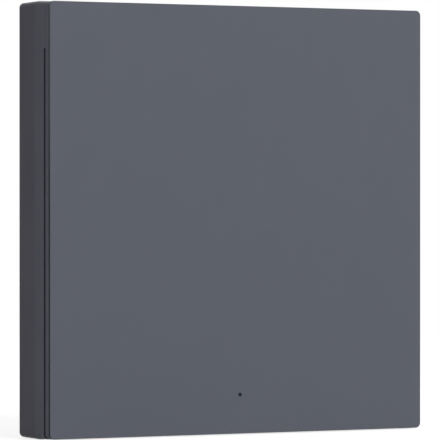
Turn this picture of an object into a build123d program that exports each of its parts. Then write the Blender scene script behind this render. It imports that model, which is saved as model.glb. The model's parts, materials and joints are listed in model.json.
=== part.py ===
from build123d import *
from math import ceil, cos, pi, sin, sqrt
import os

os.makedirs("parts", exist_ok=True)

# A flush-mounted smart light switch with one rocker over its whole front, in millimetres.
# X runs to the right, Y into the wall and Z up. The origin lies on the wall plane, midway
# between the two box fixings. Heights are counted from the wall towards the room, so the
# rocker has the largest ones and the back box has negative ones.

# Faceplate
plate_width = 86.0
plate_height = 86.0
corner_radius = 1.05
wall_frame_depth = 6.8
wall_frame_draft = 0.1
ring_depth = 3.55
ring_straight = 1.35
ring_draft = 0.15
ring_draft_depth = 1.7
slit_width = 0.65
cap_depth = 1.9
cap_inset = 0.2

# Rocker
cap_skin = 1.3
cap_rim_width = 1.8
cap_edge = 0.08
shadow_line_setback = 0.1
shadow_line_width = 0.4
shadow_line_depth = 0.5
shadow_line_top = 0.04
rib_width = 1.0
rib_depth = 1.5
rib_columns = 6
rib_rows = 5
rib_side_gap = 1.2
rocker_stroke = 0.5
indicator_inset = 8.0
indicator_dot = 0.75
lens_radius = 1.2
lens_collar = 0.5
lens_fit = 0.02
button_inset = 15.0

# Hinge of the rocker
hinge_inset = 3.8
hinge_drop = 1.25
hinge_x = 28.0
hinge_barrel_radius = 1.2
hinge_barrel_length = 8.0
hinge_fit = 0.05
hinge_end_gap = 0.25
hinge_throat = 2.1
hinge_web = 1.2
hinge_block_width = 11.0
hairline = 0.1
hairline_reach = 9.4

# Ring behind the slit
opening_side_margin = 6.0
opening_top_margin = 6.6
opening_bottom_margin = 3.4
opening_radius = 1.5
ring_wall = 1.6
ring_face_wall = 1.2
ring_lip = 1.2

# Stop lugs of the rocker
lug_inset = 12.0
lug_width = 4.0
lug_thickness = 1.2
lug_gap = 0.4
lug_reach = 0.9
lug_barb = 0.9
lug_play = 0.05

# Snap hooks of the ring
hook_inset = 4.0
hook_z = 22.0
hook_width = 5.0
hook_thickness = 1.2
hook_barb = 1.0
hook_barb_height = 1.2
hook_barb_land = 0.4
hook_play = 0.1
hook_gap = 0.3

# Wall frame
frame_wall = 2.0
frame_web = 1.2
frame_side_gap = 3.9
frame_top_gap = 1.0
frame_bottom_gap = 0.6
frame_ear_gap = 0.3
frame_rib_width = 1.0
frame_rib_setback = 0.8
frame_rib_pitch = 13.5
frame_rib_count = 5

# Mounting strap and box fixings
strap_end = 5.5
strap_margin = 7.5
strap_radius = 4.0
strap_thickness = 1.2
fixing_spacing = 60.0
fixing_slot_length = 5.5
fixing_hole_radius = 1.9
fixing_access_radius = 4.6
strap_fit = 0.3

# Small screws
screw_shank_radius = 1.0
screw_head_radius = 2.1
screw_head_height = 1.4
screw_clearance = 0.1
screw_tip_gap = 0.1

# Control tray: the flange of the rear housing and its cover
tray_width = 51.2
tray_top_margin = 9.0
tray_bottom_margin = 5.0
tray_radius = 2.0
flange_thickness = 1.5
cover_height = 6.1
cover_wall = 1.2
cover_edge = 0.6
pillar_inset = 3.4
notch_reach = 2.6
board_gap = 0.4
board_thickness = 1.2

# Return springs
spring_x = 15.0
spring_inset = 13.0
spring_radius = 2.4
spring_wire = 0.45
spring_turns = 3.0
spring_end_gap = 0.1
spring_well_radius = 3.1
spring_well_depth = 2.8
spring_peg_side = 2.4
spring_peg_length = 2.2

# Push switch and plunger
switch_size = 6.0
switch_height = 2.0
switch_corner = 0.6
stem_radius = 1.5
stem_height = 0.7
stem_seat = 0.5
stem_well = 1.2
stem_fit = 0.05
plunger_gap = 0.05
plunger_radius = 2.5
plunger_fit = 0.06
plunger_flange_radius = 3.5
plunger_flange = 0.7
plunger_length = 3.0

# Indicator lamp and light pipe
lamp_length = 1.6
lamp_width = 0.8
lamp_height = 0.8
pipe_radius = 1.1
pipe_fit = 0.05
pipe_flange_radius = 1.7
pipe_flange = 0.8
pipe_lamp_gap = 0.2
pipe_lens_gap = 0.35

# Radio module
radio_width = 16.0
radio_length = 24.0
radio_z = 6.0
radio_board_thickness = 0.8
shield_width = 14.0
shield_length = 16.0
shield_height = 2.2
shield_edge = 0.35
shield_offset = 2.6

# Rear housing
box_width = 49.0
box_height = 52.0
box_corner = 11.0
box_depth = 27.5
box_wall = 1.6
box_edge = 0.8
vent_count = 5
vent_width = 1.2
vent_length = 14.0
vent_pitch = 3.2
vent_z = 9.0

# Terminals
terminal_count = 3
terminal_pitch = 8.0
terminal_inset = 7.0
terminal_wall = 1.2
terminal_rear_gap = 0.1
cage_width = 6.4
cage_length = 6.0
cage_wall = 1.0
cage_nut = 1.6
cage_gap = 0.2
cage_travel = 2.0
wire_gap = 2.5
terminal_screw_radius = 1.45
terminal_screw_fit = 0.05
terminal_head_radius = 2.5
terminal_head_height = 2.1
terminal_head_gap = 0.05
terminal_slot_width = 0.8
terminal_slot_depth = 1.0
driver_hole_radius = 2.2
busbar_width = 3.6
busbar_thickness = 0.8
busbar_fit = 0.1
wire_hole_width = 5.0
wire_hole_height = 3.6

# Power board and what it carries
power_board_height = -3.6
power_board_thickness = 1.6
power_board_gap = 0.3
ledge_width = 1.0
relay_width = 18.4
relay_depth = 10.2
relay_height = 15.3
relay_base_thickness = 0.8
relay_edge = 0.5
relay_pin_x = 13.0
relay_pin_z = 7.5
relay_x = -11.5
core_width = 13.0
core_depth = 6.0
core_height = 12.0
core_window_width = 3.0
core_window_height = 8.0
core_x = 10.5
bobbin_wall = 0.5
bobbin_flange = 0.8
bobbin_foot = 1.0
winding_gap = 0.1
winding_corner = 1.0
capacitor_radius = 4.0
capacitor_height = 12.0
capacitor_x = -12.9
capacitor_pitch = 9.0
film_width = 13.0
film_depth = 6.0
film_height = 11.0
film_x = 10.5
varistor_radius = 4.5
varistor_thickness = 3.6
varistor_x = 12.4
fuse_radius = 1.6
fuse_length = 8.0
fuse_x = -6.0
bridge_width = 4.8
bridge_depth = 4.0
bridge_height = 1.8
bridge_edge = 0.3
bridge_x = 1.5
bridge_drop = 4.4
choke_radius = 3.4
choke_height = 7.0
choke_flange = 1.2
choke_core_radius = 1.8
choke_x = 8.6
lead_stub = 0.8
lead_width = 0.6

# Pin header between the boards
header_pins_count = 6
header_pitch = 2.54
header_width = 2.5
header_base = 1.6
header_pin = 0.64
header_slot = 0.9
header_socket_height = 3.0
header_edge_gap = 1.75
header_pin_top_gap = 0.4
sheet_thickness = 0.3
sheet_gap = 0.1

# Places in the plan, worked out from the sizes
hinge_z = plate_height / 2 - hinge_inset
button_z = button_inset - plate_height / 2
spring_z = spring_inset - plate_height / 2
indicator_z = indicator_inset - plate_height / 2
hairline_start_z = plate_height / 2 - hairline_reach
opening_width = plate_width - 2 * opening_side_margin
opening_top = plate_height / 2 - opening_top_margin
opening_bottom = opening_bottom_margin - plate_height / 2
lug_x = plate_width / 2 - lug_inset
hook_x = plate_width / 2 - hook_inset
tray_top = plate_height / 2 - tray_top_margin
tray_bottom = tray_bottom_margin - plate_height / 2
pillar_x = tray_width / 2 - pillar_inset
pillar_z = tray_top - pillar_inset
notch_x = pillar_x - notch_reach
notch_z = pillar_z - notch_reach
strap_width = fixing_spacing + 2 * strap_end
strap_height = plate_height - 2 * strap_margin
terminal_z = terminal_inset - box_height / 2
header_z = box_height / 2 - box_wall - header_edge_gap - header_width / 2

# Heights above the wall, worked out from the sizes
parting_h = wall_frame_depth
ring_face_h = parting_h + ring_depth
cap_back_h = ring_face_h + slit_width
face_h = cap_back_h + cap_depth
skin_back_h = face_h - cap_skin
raised_h = cap_back_h - hairline
hinge_h = ring_face_h - hinge_drop
flange_back_h = strap_thickness
flange_h = flange_back_h + flange_thickness
cover_h = flange_h + cover_height
cover_inner_h = cover_h - cover_wall
web_h = parting_h - frame_web
board_h = flange_h + board_thickness
switch_h = board_h + switch_height
stem_h = switch_h + stem_height
plunger_h = stem_h + plunger_gap
plunger_tip_h = plunger_h + plunger_length
box_back_h = -box_depth
box_floor_h = box_back_h + box_wall
power_h = power_board_height

# Plan sizes, worked out from the sizes
cap_width = plate_width - 2 * cap_inset
cap_height = plate_height - 2 * cap_inset
ring_width = plate_width - 2 * ring_draft
ring_height = plate_height - 2 * ring_draft
cap_bottom = -cap_height / 2
opening_middle = (opening_top + opening_bottom) / 2
opening_height = opening_top - opening_bottom
tray_middle = (tray_top + tray_bottom) / 2
tray_height = tray_top - tray_bottom
lug_outer_z = opening_bottom + lug_gap
swing_radius = hinge_z - cap_bottom
rocker_swing = rocker_stroke / swing_radius
plunger_stroke = rocker_swing * (hinge_z - button_z)


def level(height):
    """The plane at a height above the wall, looking at the room."""
    return Plane.XZ.offset(height)


def outline(width, height, radius):
    """A rounded rectangle in the sketch that is open."""
    return RectangleRounded(width, height, radius)


def box_outline(inset, mode=Mode.ADD):
    """The eight-sided outline of the rear housing, drawn in by an inset."""
    half_width = box_width / 2 - inset
    half_height = box_height / 2 - inset
    corner = box_corner - inset * (2 - sqrt(2))
    Polygon(
        (half_width, half_height - corner),
        (half_width - corner, half_height),
        (corner - half_width, half_height),
        (-half_width, half_height - corner),
        (-half_width, corner - half_height),
        (corner - half_width, -half_height),
        (half_width - corner, -half_height),
        (half_width, corner - half_height),
        align=None,
        mode=mode,
    )


def corners(x, z):
    """The four places that lie x and z either side of the middle."""
    return GridLocations(2 * x, 2 * z, 2, 2)


# The rocker: a skin with a rim, ribs behind it, and what it works with moulded on
with BuildPart() as rocker_cap:
    with BuildSketch(level(cap_back_h)):
        outline(cap_width, cap_height, corner_radius)
    extrude(amount=cap_depth)
    chamfer(rocker_cap.faces().sort_by(Axis.Y)[0].edges(), cap_edge)
    with BuildSketch(level(cap_back_h)):
        Rectangle(cap_width - 2 * cap_rim_width, cap_height - 2 * cap_rim_width)
    extrude(amount=skin_back_h - cap_back_h, mode=Mode.SUBTRACT)
    # The shadow line behind the front edge deepens from the hinge down
    with BuildSketch(level(face_h - shadow_line_setback - shadow_line_width)):
        Rectangle(plate_width, plate_height)
        with BuildLine():
            Polyline(
                (shadow_line_top - cap_width / 2, cap_height / 2 - shadow_line_top),
                (cap_width / 2 - shadow_line_top, cap_height / 2 - shadow_line_top),
                (cap_width / 2 - shadow_line_depth, shadow_line_depth - cap_height / 2),
                (shadow_line_depth - cap_width / 2, shadow_line_depth - cap_height / 2),
                close=True,
            )
        make_face(mode=Mode.SUBTRACT)
    extrude(amount=shadow_line_width, mode=Mode.SUBTRACT)
    # Ribs, inside the ring's opening
    rib_span_x = opening_width - 2 * rib_side_gap
    rib_span_z = opening_height - 2 * rib_side_gap
    with BuildSketch(level(skin_back_h - rib_depth)):
        with Locations((0, opening_middle)):
            with GridLocations(rib_span_x / (rib_columns - 1), 0, rib_columns, 1):
                Rectangle(rib_width, rib_span_z + rib_width)
            with GridLocations(0, rib_span_z / (rib_rows - 1), 1, rib_rows):
                Rectangle(rib_span_x + rib_width, rib_width)
    extrude(amount=rib_depth)
    # Boss that presses the plunger, and the seat round the lens
    with BuildSketch(level(plunger_tip_h + plunger_gap)):
        with Locations((0, button_z)):
            Rectangle(2 * plunger_radius, 2 * plunger_radius)
    extrude(amount=skin_back_h - plunger_tip_h - plunger_gap)
    with BuildSketch(level(skin_back_h - lens_collar)):
        with Locations((0, indicator_z)):
            Rectangle(4 * lens_radius, 4 * lens_radius)
    extrude(amount=lens_collar)
    # Pegs inside the return springs
    with BuildSketch(level(skin_back_h)):
        with GridLocations(2 * spring_x, 0, 2, 1):
            with Locations((0, spring_z)):
                Rectangle(spring_peg_side, spring_peg_side)
    extrude(amount=-spring_peg_length)
    # Flat seats for the springs, cut clear of the ribs
    with BuildSketch(level(skin_back_h)):
        with GridLocations(2 * spring_x, 0, 2, 1):
            with Locations((0, spring_z)):
                Circle(spring_well_radius)
                Rectangle(spring_peg_side, spring_peg_side, mode=Mode.SUBTRACT)
    extrude(amount=-rib_depth, mode=Mode.SUBTRACT)
    # Hinge barrels on their webs
    with BuildSketch(level(hinge_h)):
        with GridLocations(2 * hinge_x, 0, 2, 1):
            with Locations((0, hinge_z)):
                Rectangle(hinge_barrel_length, hinge_web)
    extrude(amount=skin_back_h - hinge_h)
    for side in (-1, 1):
        with BuildSketch(Plane.YZ.offset(side * hinge_x - hinge_barrel_length / 2)):
            with Locations((-hinge_h, hinge_z)):
                Circle(hinge_barrel_radius)
        extrude(amount=hinge_barrel_length)
    # Stop lugs that catch behind the lower edge of the ring
    lug_catch_h = parting_h - lug_play
    for side in (-1, 1):
        with BuildSketch(Plane.YZ.offset(side * lug_x - lug_width / 2)):
            with BuildLine():
                Polyline(
                    (-skin_back_h, lug_outer_z),
                    (-lug_catch_h, lug_outer_z),
                    (-lug_catch_h, lug_outer_z - lug_gap - lug_barb),
                    (lug_reach - lug_catch_h, lug_outer_z),
                    (lug_reach - lug_catch_h, lug_outer_z + lug_thickness),
                    (-skin_back_h, lug_outer_z + lug_thickness),
                    close=True,
                )
            make_face()
        extrude(amount=lug_width)
    # Stepped hole for the lens
    with BuildSketch(level(skin_back_h - lens_collar)):
        with Locations((0, indicator_z)):
            Circle(lens_radius + lens_fit)
    extrude(amount=lens_collar + cap_skin / 2, mode=Mode.SUBTRACT)
    with BuildSketch(level(skin_back_h)):
        with Locations((0, indicator_z)):
            Circle(indicator_dot / 2 + lens_fit)
    extrude(amount=cap_skin, mode=Mode.SUBTRACT)
rocker_cap.part.label = "rocker_cap"
export_step(rocker_cap.part, "parts/rocker_cap.step")

# The smoked lens: a collar behind the skin and a fine tip in the dot
lens_back_h = skin_back_h - lens_collar
with BuildPart() as indicator_lens:
    with BuildSketch(level(lens_back_h)):
        with Locations((0, indicator_z)):
            Circle(lens_radius)
    extrude(amount=lens_collar + cap_skin / 2 - lens_fit)
    with BuildSketch(level(skin_back_h)):
        with Locations((0, indicator_z)):
            Circle(indicator_dot / 2)
    extrude(amount=cap_skin)
indicator_lens.part.label = "indicator_lens"
export_step(indicator_lens.part, "parts/indicator_lens.step")

# The ring behind the slit: a moulded channel, open to the back
hook_inner_x = hook_x - hook_thickness / 2
hook_outer_x = hook_x + hook_thickness / 2
hook_catch_h = web_h - hook_play
with BuildPart() as rocker_frame:
    with BuildSketch(level(parting_h)):
        outline(plate_width, plate_height, corner_radius)
    extrude(amount=ring_depth - ring_straight - ring_draft_depth)
    with BuildSketch(level(ring_face_h - ring_straight)):
        outline(ring_width, ring_height, corner_radius)
    extrude(amount=ring_straight)
    with BuildSketch(level(ring_face_h - ring_straight - ring_draft_depth)):
        outline(plate_width, plate_height, corner_radius)
    with BuildSketch(level(ring_face_h - ring_straight)):
        outline(ring_width, ring_height, corner_radius)
    loft()
    # Above the slit the ring rises until only a hairline is left under the rocker
    raised_height = ring_height / 2 - hairline_start_z
    with BuildSketch(level(ring_face_h)):
        outline(ring_width, ring_height, corner_radius)
        with Locations((0, hairline_start_z - ring_height / 2)):
            Rectangle(plate_width, ring_height, mode=Mode.SUBTRACT)
    extrude(amount=raised_h - ring_face_h)
    with BuildSketch(level(parting_h)):
        with Locations((0, opening_middle)):
            outline(opening_width, opening_height, opening_radius)
    extrude(amount=raised_h - parting_h, mode=Mode.SUBTRACT)
    # The channel in the back
    channel_bottom = opening_bottom - ring_lip
    channel_top = plate_height / 2 - ring_wall
    with BuildSketch(level(parting_h)):
        with Locations((0, (channel_top + channel_bottom) / 2)):
            Rectangle(plate_width - 2 * ring_wall, channel_top - channel_bottom)
        with Locations((0, opening_middle)):
            Rectangle(opening_width + 2 * ring_lip, opening_height + 2 * ring_lip, mode=Mode.SUBTRACT)
    extrude(amount=ring_depth - ring_face_wall, mode=Mode.SUBTRACT)
    # Blocks with the hinge sockets, open to the front
    with BuildSketch(level(parting_h)):
        with GridLocations(2 * hinge_x, 0, 2, 1):
            with Locations((0, (opening_top + channel_top) / 2)):
                Rectangle(hinge_block_width, channel_top - opening_top)
    extrude(amount=raised_h - parting_h)
    socket_length = hinge_barrel_length + 2 * hinge_end_gap
    for side in (-1, 1):
        with BuildSketch(Plane.YZ.offset(side * hinge_x - socket_length / 2)):
            with Locations((-hinge_h, hinge_z)):
                Circle(hinge_barrel_radius + hinge_fit)
            with Locations((-(hinge_h + raised_h) / 2, hinge_z)):
                Rectangle(raised_h - hinge_h, hinge_throat)
        extrude(amount=socket_length, mode=Mode.SUBTRACT)
    # Snap hooks that reach through the wall frame's web
    for side in (-1, 1):
        for hook_level in (-hook_z, hook_z):
            with BuildSketch(Plane.XY.offset(hook_level - hook_width / 2)):
                with BuildLine():
                    Polyline(
                        (side * hook_inner_x, -ring_face_h + ring_face_wall),
                        (side * hook_inner_x, -hook_catch_h + hook_barb_height),
                        (side * hook_outer_x, -hook_catch_h + hook_barb_height),
                        (side * (hook_outer_x + hook_barb), -hook_catch_h + hook_barb_land),
                        (side * (hook_outer_x + hook_barb), -hook_catch_h),
                        (side * hook_outer_x, -hook_catch_h),
                        (side * hook_outer_x, -ring_face_h + ring_face_wall),
                        close=True,
                    )
                make_face()
            extrude(amount=hook_width)
rocker_frame.part.label = "rocker_frame"
export_step(rocker_frame.part, "parts/rocker_frame.step")

# The wall frame: a drafted wall with ribs behind it, and a web under the ring whose four ears
# lie under the heads of the cover's screws
with BuildPart() as wall_frame:
    with BuildSketch(level(0)):
        outline(plate_width - 2 * wall_frame_draft, plate_height - 2 * wall_frame_draft, corner_radius)
    with BuildSketch(level(parting_h)):
        outline(plate_width, plate_height, corner_radius)
    loft()
    with BuildSketch(level(0)):
        Rectangle(plate_width - 2 * frame_wall, plate_height - 2 * frame_wall)
    extrude(amount=web_h, mode=Mode.SUBTRACT)
    with BuildSketch(level(frame_rib_setback)):
        with GridLocations(0, frame_rib_pitch, 1, frame_rib_count):
            Rectangle(plate_width - 2 * frame_wall, frame_rib_width)
        with GridLocations(frame_rib_pitch, 0, frame_rib_count, 1):
            Rectangle(frame_rib_width, plate_height - 2 * frame_wall)
        Rectangle(strap_width + 2 * strap_fit, strap_height + 2 * strap_fit, mode=Mode.SUBTRACT)
    extrude(amount=web_h - frame_rib_setback)
    frame_opening_top = tray_top + frame_top_gap
    frame_opening_bottom = tray_bottom - frame_bottom_gap
    lug_slot_bottom = frame_wall - plate_height / 2
    lug_slot_top = lug_outer_z + lug_thickness + 2 * lug_gap
    with BuildSketch(level(strap_thickness)):
        with Locations((0, (frame_opening_top + frame_opening_bottom) / 2)):
            Rectangle(2 * (notch_x + frame_ear_gap), frame_opening_top - frame_opening_bottom)
        Rectangle(tray_width + 2 * frame_side_gap, 2 * (notch_z + frame_ear_gap))
        with GridLocations(fixing_spacing, 0, 2, 1):
            Circle(fixing_access_radius)
        with GridLocations(2 * lug_x, 0, 2, 1):
            with Locations((0, (lug_slot_bottom + lug_slot_top) / 2)):
                Rectangle(lug_width + 2 * lug_gap, lug_slot_top - lug_slot_bottom)
        with corners(hook_x, hook_z):
            Rectangle(hook_thickness + 2 * hook_gap, hook_width + 2 * hook_gap)
    extrude(amount=parting_h - strap_thickness, mode=Mode.SUBTRACT)
    with BuildSketch(level(web_h)):
        with corners(pillar_x, pillar_z):
            Circle(screw_shank_radius + screw_clearance)
    extrude(amount=frame_web, mode=Mode.SUBTRACT)
wall_frame.part.label = "wall_frame"
export_step(wall_frame.part, "parts/wall_frame.step")

# The steel strap with the slots for the wall box
with BuildPart() as mounting_strap:
    with BuildSketch(level(0)):
        outline(strap_width, strap_height, strap_radius)
        box_outline(-strap_fit, mode=Mode.SUBTRACT)
    extrude(amount=strap_thickness)
    with BuildSketch(level(0)):
        with GridLocations(fixing_spacing, 0, 2, 1):
            SlotOverall(fixing_slot_length, 2 * fixing_hole_radius)
        with corners(pillar_x, pillar_z):
            Circle(screw_shank_radius + screw_clearance)
    extrude(amount=strap_thickness, mode=Mode.SUBTRACT)
mounting_strap.part.label = "mounting_strap"
export_step(mounting_strap.part, "parts/mounting_strap.step")

# Pan-head screws from the wall frame's ears through the cover and the housing into the strap
with BuildPart() as cover_screws:
    with BuildSketch(level(screw_tip_gap)):
        with corners(pillar_x, pillar_z):
            Circle(screw_shank_radius)
    extrude(amount=parting_h - screw_tip_gap)
    with BuildSketch(level(parting_h)):
        with corners(pillar_x, pillar_z):
            Circle(screw_head_radius)
    extrude(amount=screw_head_height)
cover_screws.part.label = "cover_screws"
export_step(cover_screws.part, "parts/cover_screws.step")

# The cover over the control board
spring_floor_h = cover_h - spring_well_depth
pipe_h = lens_back_h - pipe_lens_gap - rocker_swing * (hinge_z - indicator_z)
with BuildPart() as mechanism_cover:
    with BuildSketch(level(flange_h)):
        with Locations((0, tray_middle)):
            outline(tray_width, tray_height, tray_radius)
    extrude(amount=cover_height)
    chamfer(mechanism_cover.faces().sort_by(Axis.Y)[0].edges(), cover_edge)
    # The hollow leaves solid corners, which step down to the seats of the frame's ears
    with BuildSketch(level(flange_h)):
        with Locations((0, tray_middle)):
            Rectangle(2 * (notch_x - cover_wall), tray_height - 2 * cover_wall)
        Rectangle(tray_width - 2 * cover_wall, 2 * (notch_z - cover_wall))
    extrude(amount=cover_height - cover_wall, mode=Mode.SUBTRACT)
    with BuildSketch(level(web_h)):
        with Locations((0, tray_middle)):
            Rectangle(tray_width, tray_height)
        Rectangle(2 * notch_x, plate_height, mode=Mode.SUBTRACT)
        Rectangle(plate_width, 2 * notch_z, mode=Mode.SUBTRACT)
    extrude(amount=cover_h - web_h, mode=Mode.SUBTRACT)
    with BuildSketch(level(flange_h)):
        with corners(pillar_x, pillar_z):
            Circle(screw_shank_radius + screw_clearance)
    extrude(amount=web_h - flange_h, mode=Mode.SUBTRACT)
    # Wells for the return springs, and ways through for the plunger and the light pipe
    well_outside = 2 * (spring_well_radius + cover_wall)
    with BuildSketch(level(spring_floor_h - cover_wall)):
        with GridLocations(2 * spring_x, 0, 2, 1):
            with Locations((0, spring_z)):
                Rectangle(well_outside, well_outside)
    extrude(amount=spring_well_depth)
    with BuildSketch(level(spring_floor_h)):
        with GridLocations(2 * spring_x, 0, 2, 1):
            with Locations((0, spring_z)):
                Circle(spring_well_radius)
    extrude(amount=spring_well_depth, mode=Mode.SUBTRACT)
    with BuildSketch(level(cover_inner_h)):
        with Locations((0, button_z)):
            Circle(plunger_radius + plunger_fit)
        with Locations((0, indicator_z)):
            Circle(pipe_radius + pipe_fit)
    extrude(amount=cover_wall, mode=Mode.SUBTRACT)
mechanism_cover.part.label = "mechanism_cover"
export_step(mechanism_cover.part, "parts/mechanism_cover.step")

# The light pipe, from just over the lamp to just behind the lens
pipe_foot_h = board_h + lamp_height + pipe_lamp_gap
with BuildPart() as light_pipe:
    with BuildSketch(level(pipe_foot_h)):
        with Locations((0, indicator_z)):
            Circle(pipe_radius)
    extrude(amount=pipe_h - pipe_foot_h)
    with BuildSketch(level(cover_inner_h - pipe_flange)):
        with Locations((0, indicator_z)):
            Circle(pipe_flange_radius)
    extrude(amount=pipe_flange)
light_pipe.part.label = "light_pipe"
export_step(light_pipe.part, "parts/light_pipe.step")

# The plunger between the rocker's boss and the push switch
with BuildPart() as key_plunger:
    with BuildSketch(level(plunger_h)):
        with Locations((0, button_z)):
            Circle(plunger_flange_radius)
    extrude(amount=plunger_flange)
    with BuildSketch(level(plunger_h + plunger_flange)):
        with Locations((0, button_z)):
            Circle(plunger_radius)
    extrude(amount=plunger_length - plunger_flange)
key_plunger.part.label = "key_plunger"
export_step(key_plunger.part, "parts/key_plunger.step")


def spring_line(middle_x, middle_z, low_height, high_height):
    """The centre line of a return spring: arcs joined without a kink."""
    steps = ceil(2 * spring_turns)
    step_angle = 2 * pi * spring_turns / steps
    climb = (high_height - low_height) / (2 * pi * spring_turns)

    def point(angle):
        across = spring_radius * cos(angle)
        up = spring_radius * sin(angle)
        return Vector(middle_x + across, -low_height - climb * angle, middle_z + up)

    def way(angle):
        return Vector(-spring_radius * sin(angle), -climb, spring_radius * cos(angle)).normalized()

    with BuildLine() as line:
        for step in range(steps):
            start, end = point(step * step_angle), point((step + 1) * step_angle)
            start_way, end_way = way(step * step_angle), way((step + 1) * step_angle)
            span = end - start
            along = span.dot(start_way + end_way)
            spread = 2 * (1 - start_way.dot(end_way))
            reach = (sqrt(along**2 + spread * span.dot(span)) - along) / spread
            middle = (start + end + (start_way - end_way) * reach) * 0.5
            rising = TangentArc(start, middle, tangent=start_way)
            TangentArc(middle, end, tangent=rising % 1)
    return line.wire()


# The return springs, standing in the cover's wells round the rocker's pegs. Their wire has
# six flats, because it is seen only when the rocker is off.
spring_low_h = spring_floor_h + spring_end_gap + spring_wire / 2
spring_high_h = skin_back_h - spring_end_gap - spring_wire / 2
spring_self_gap = (spring_high_h - spring_low_h) / spring_turns - spring_wire
print("least gap between the turns of a return spring:", round(spring_self_gap, 2))
for side, side_name in ((-1, "left"), (1, "right")):
    coil = spring_line(side * spring_x, spring_z, spring_low_h, spring_high_h)
    with BuildPart() as return_spring:
        with BuildSketch(Plane(origin=coil @ 0, z_dir=coil % 0)):
            RegularPolygon(spring_wire / 2, 6)
        sweep(path=coil)
    return_spring.part.label = f"return_spring_{side_name}"
    export_step(return_spring.part, f"parts/return_spring_{side_name}.step")

# The push switch on the control board
with BuildPart() as tact_switch_body:
    with BuildSketch(level(board_h)):
        with Locations((0, button_z)):
            Rectangle(switch_size, switch_size)
    extrude(amount=switch_height)
    chamfer(tact_switch_body.edges().filter_by(Axis.Y), switch_corner)
    with BuildSketch(level(switch_h - stem_well)):
        with Locations((0, button_z)):
            Circle(stem_radius + stem_fit)
    extrude(amount=stem_well, mode=Mode.SUBTRACT)
tact_switch_body.part.label = "tact_switch_body"
export_step(tact_switch_body.part, "parts/tact_switch_body.step")

with BuildPart() as tact_switch_stem:
    with BuildSketch(level(switch_h - stem_seat)):
        with Locations((0, button_z)):
            Circle(stem_radius)
    extrude(amount=stem_seat + stem_height)
tact_switch_stem.part.label = "tact_switch_stem"
export_step(tact_switch_stem.part, "parts/tact_switch_stem.step")

# The control board, notched round the cover's corners
with BuildPart() as control_board:
    with BuildSketch(level(flange_h)):
        board_inset = cover_wall + board_gap
        with Locations((0, tray_middle)):
            Rectangle(2 * (notch_x - board_inset), tray_height - 2 * board_inset)
        Rectangle(tray_width - 2 * board_inset, 2 * (notch_z - board_inset))
    extrude(amount=board_thickness)
control_board.part.label = "control_board"
export_step(control_board.part, "parts/control_board.step")

with BuildPart() as indicator_led:
    with BuildSketch(level(board_h)):
        with Locations((0, indicator_z)):
            Rectangle(lamp_length, lamp_width)
    extrude(amount=lamp_height)
indicator_led.part.label = "indicator_led"
export_step(indicator_led.part, "parts/indicator_led.step")

with BuildPart() as radio_board:
    with BuildSketch(level(board_h)):
        with Locations((0, radio_z)):
            Rectangle(radio_width, radio_length)
    extrude(amount=radio_board_thickness)
radio_board.part.label = "radio_board"
export_step(radio_board.part, "parts/radio_board.step")

with BuildPart() as radio_shield:
    with BuildSketch(level(board_h + radio_board_thickness)):
        with Locations((0, radio_z - shield_offset)):
            Rectangle(shield_width, shield_length)
    extrude(amount=shield_height)
    fillet(radio_shield.faces().sort_by(Axis.Y)[0].edges(), shield_edge)
radio_shield.part.label = "radio_shield"
export_step(radio_shield.part, "parts/radio_shield.step")

# The rear housing: a flange in front of the strap and an eight-sided cup through it
terminal_back_y = box_depth - box_wall - terminal_rear_gap
screw_back_y = box_depth - box_wall - terminal_head_gap
head_front_y = screw_back_y - terminal_head_height
nut_back_y = head_front_y - cage_travel - cage_gap
nut_front_y = nut_back_y - cage_nut
busbar_back_y = nut_front_y - terminal_wall
busbar_front_y = busbar_back_y - busbar_thickness
jaw_back_y = busbar_front_y - wire_gap
jaw_front_y = jaw_back_y - cage_wall
screw_tip_y = busbar_back_y + terminal_head_gap
wire_y = busbar_front_y - wire_gap / 2
terminal_bottom_z = box_wall - box_height / 2 + terminal_rear_gap
with BuildPart() as rear_housing:
    with BuildSketch(level(flange_back_h)):
        with Locations((0, tray_middle)):
            outline(tray_width, tray_height, tray_radius)
    extrude(amount=flange_thickness)
    with BuildSketch(level(box_back_h)):
        box_outline(0)
    extrude(amount=flange_back_h - box_back_h)
    chamfer(rear_housing.faces().sort_by(Axis.Y)[-1].edges(), box_edge)
    with BuildSketch(level(box_floor_h)):
        box_outline(box_wall)
    extrude(amount=flange_h - box_floor_h, mode=Mode.SUBTRACT)
    # Ledges along the two sides carry the power board
    with BuildSketch(level(box_floor_h)):
        with GridLocations(box_width - 2 * box_wall - ledge_width, 0, 2, 1):
            Rectangle(ledge_width, box_height - 2 * box_corner)
    extrude(amount=power_h - box_floor_h)
    with BuildSketch(level(flange_back_h)):
        with corners(pillar_x, pillar_z):
            Circle(screw_shank_radius + screw_clearance)
    extrude(amount=flange_thickness, mode=Mode.SUBTRACT)
    # Ways in for the driver and for the wires
    with BuildSketch(level(box_back_h)):
        with Locations((0, terminal_z)):
            with GridLocations(terminal_pitch, 0, terminal_count, 1):
                Circle(driver_hole_radius)
        with Locations((0, vent_z)):
            with GridLocations(0, vent_pitch, 1, vent_count):
                Rectangle(vent_length, vent_width)
    extrude(amount=box_wall, mode=Mode.SUBTRACT)
    with BuildSketch(Plane.XY.offset(-box_height / 2)):
        with Locations((0, wire_y)):
            with GridLocations(terminal_pitch, 0, terminal_count, 1):
                Rectangle(wire_hole_width, wire_hole_height)
    extrude(amount=box_wall, mode=Mode.SUBTRACT)
rear_housing.part.label = "rear_housing"
export_step(rear_housing.part, "parts/rear_housing.step")

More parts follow.
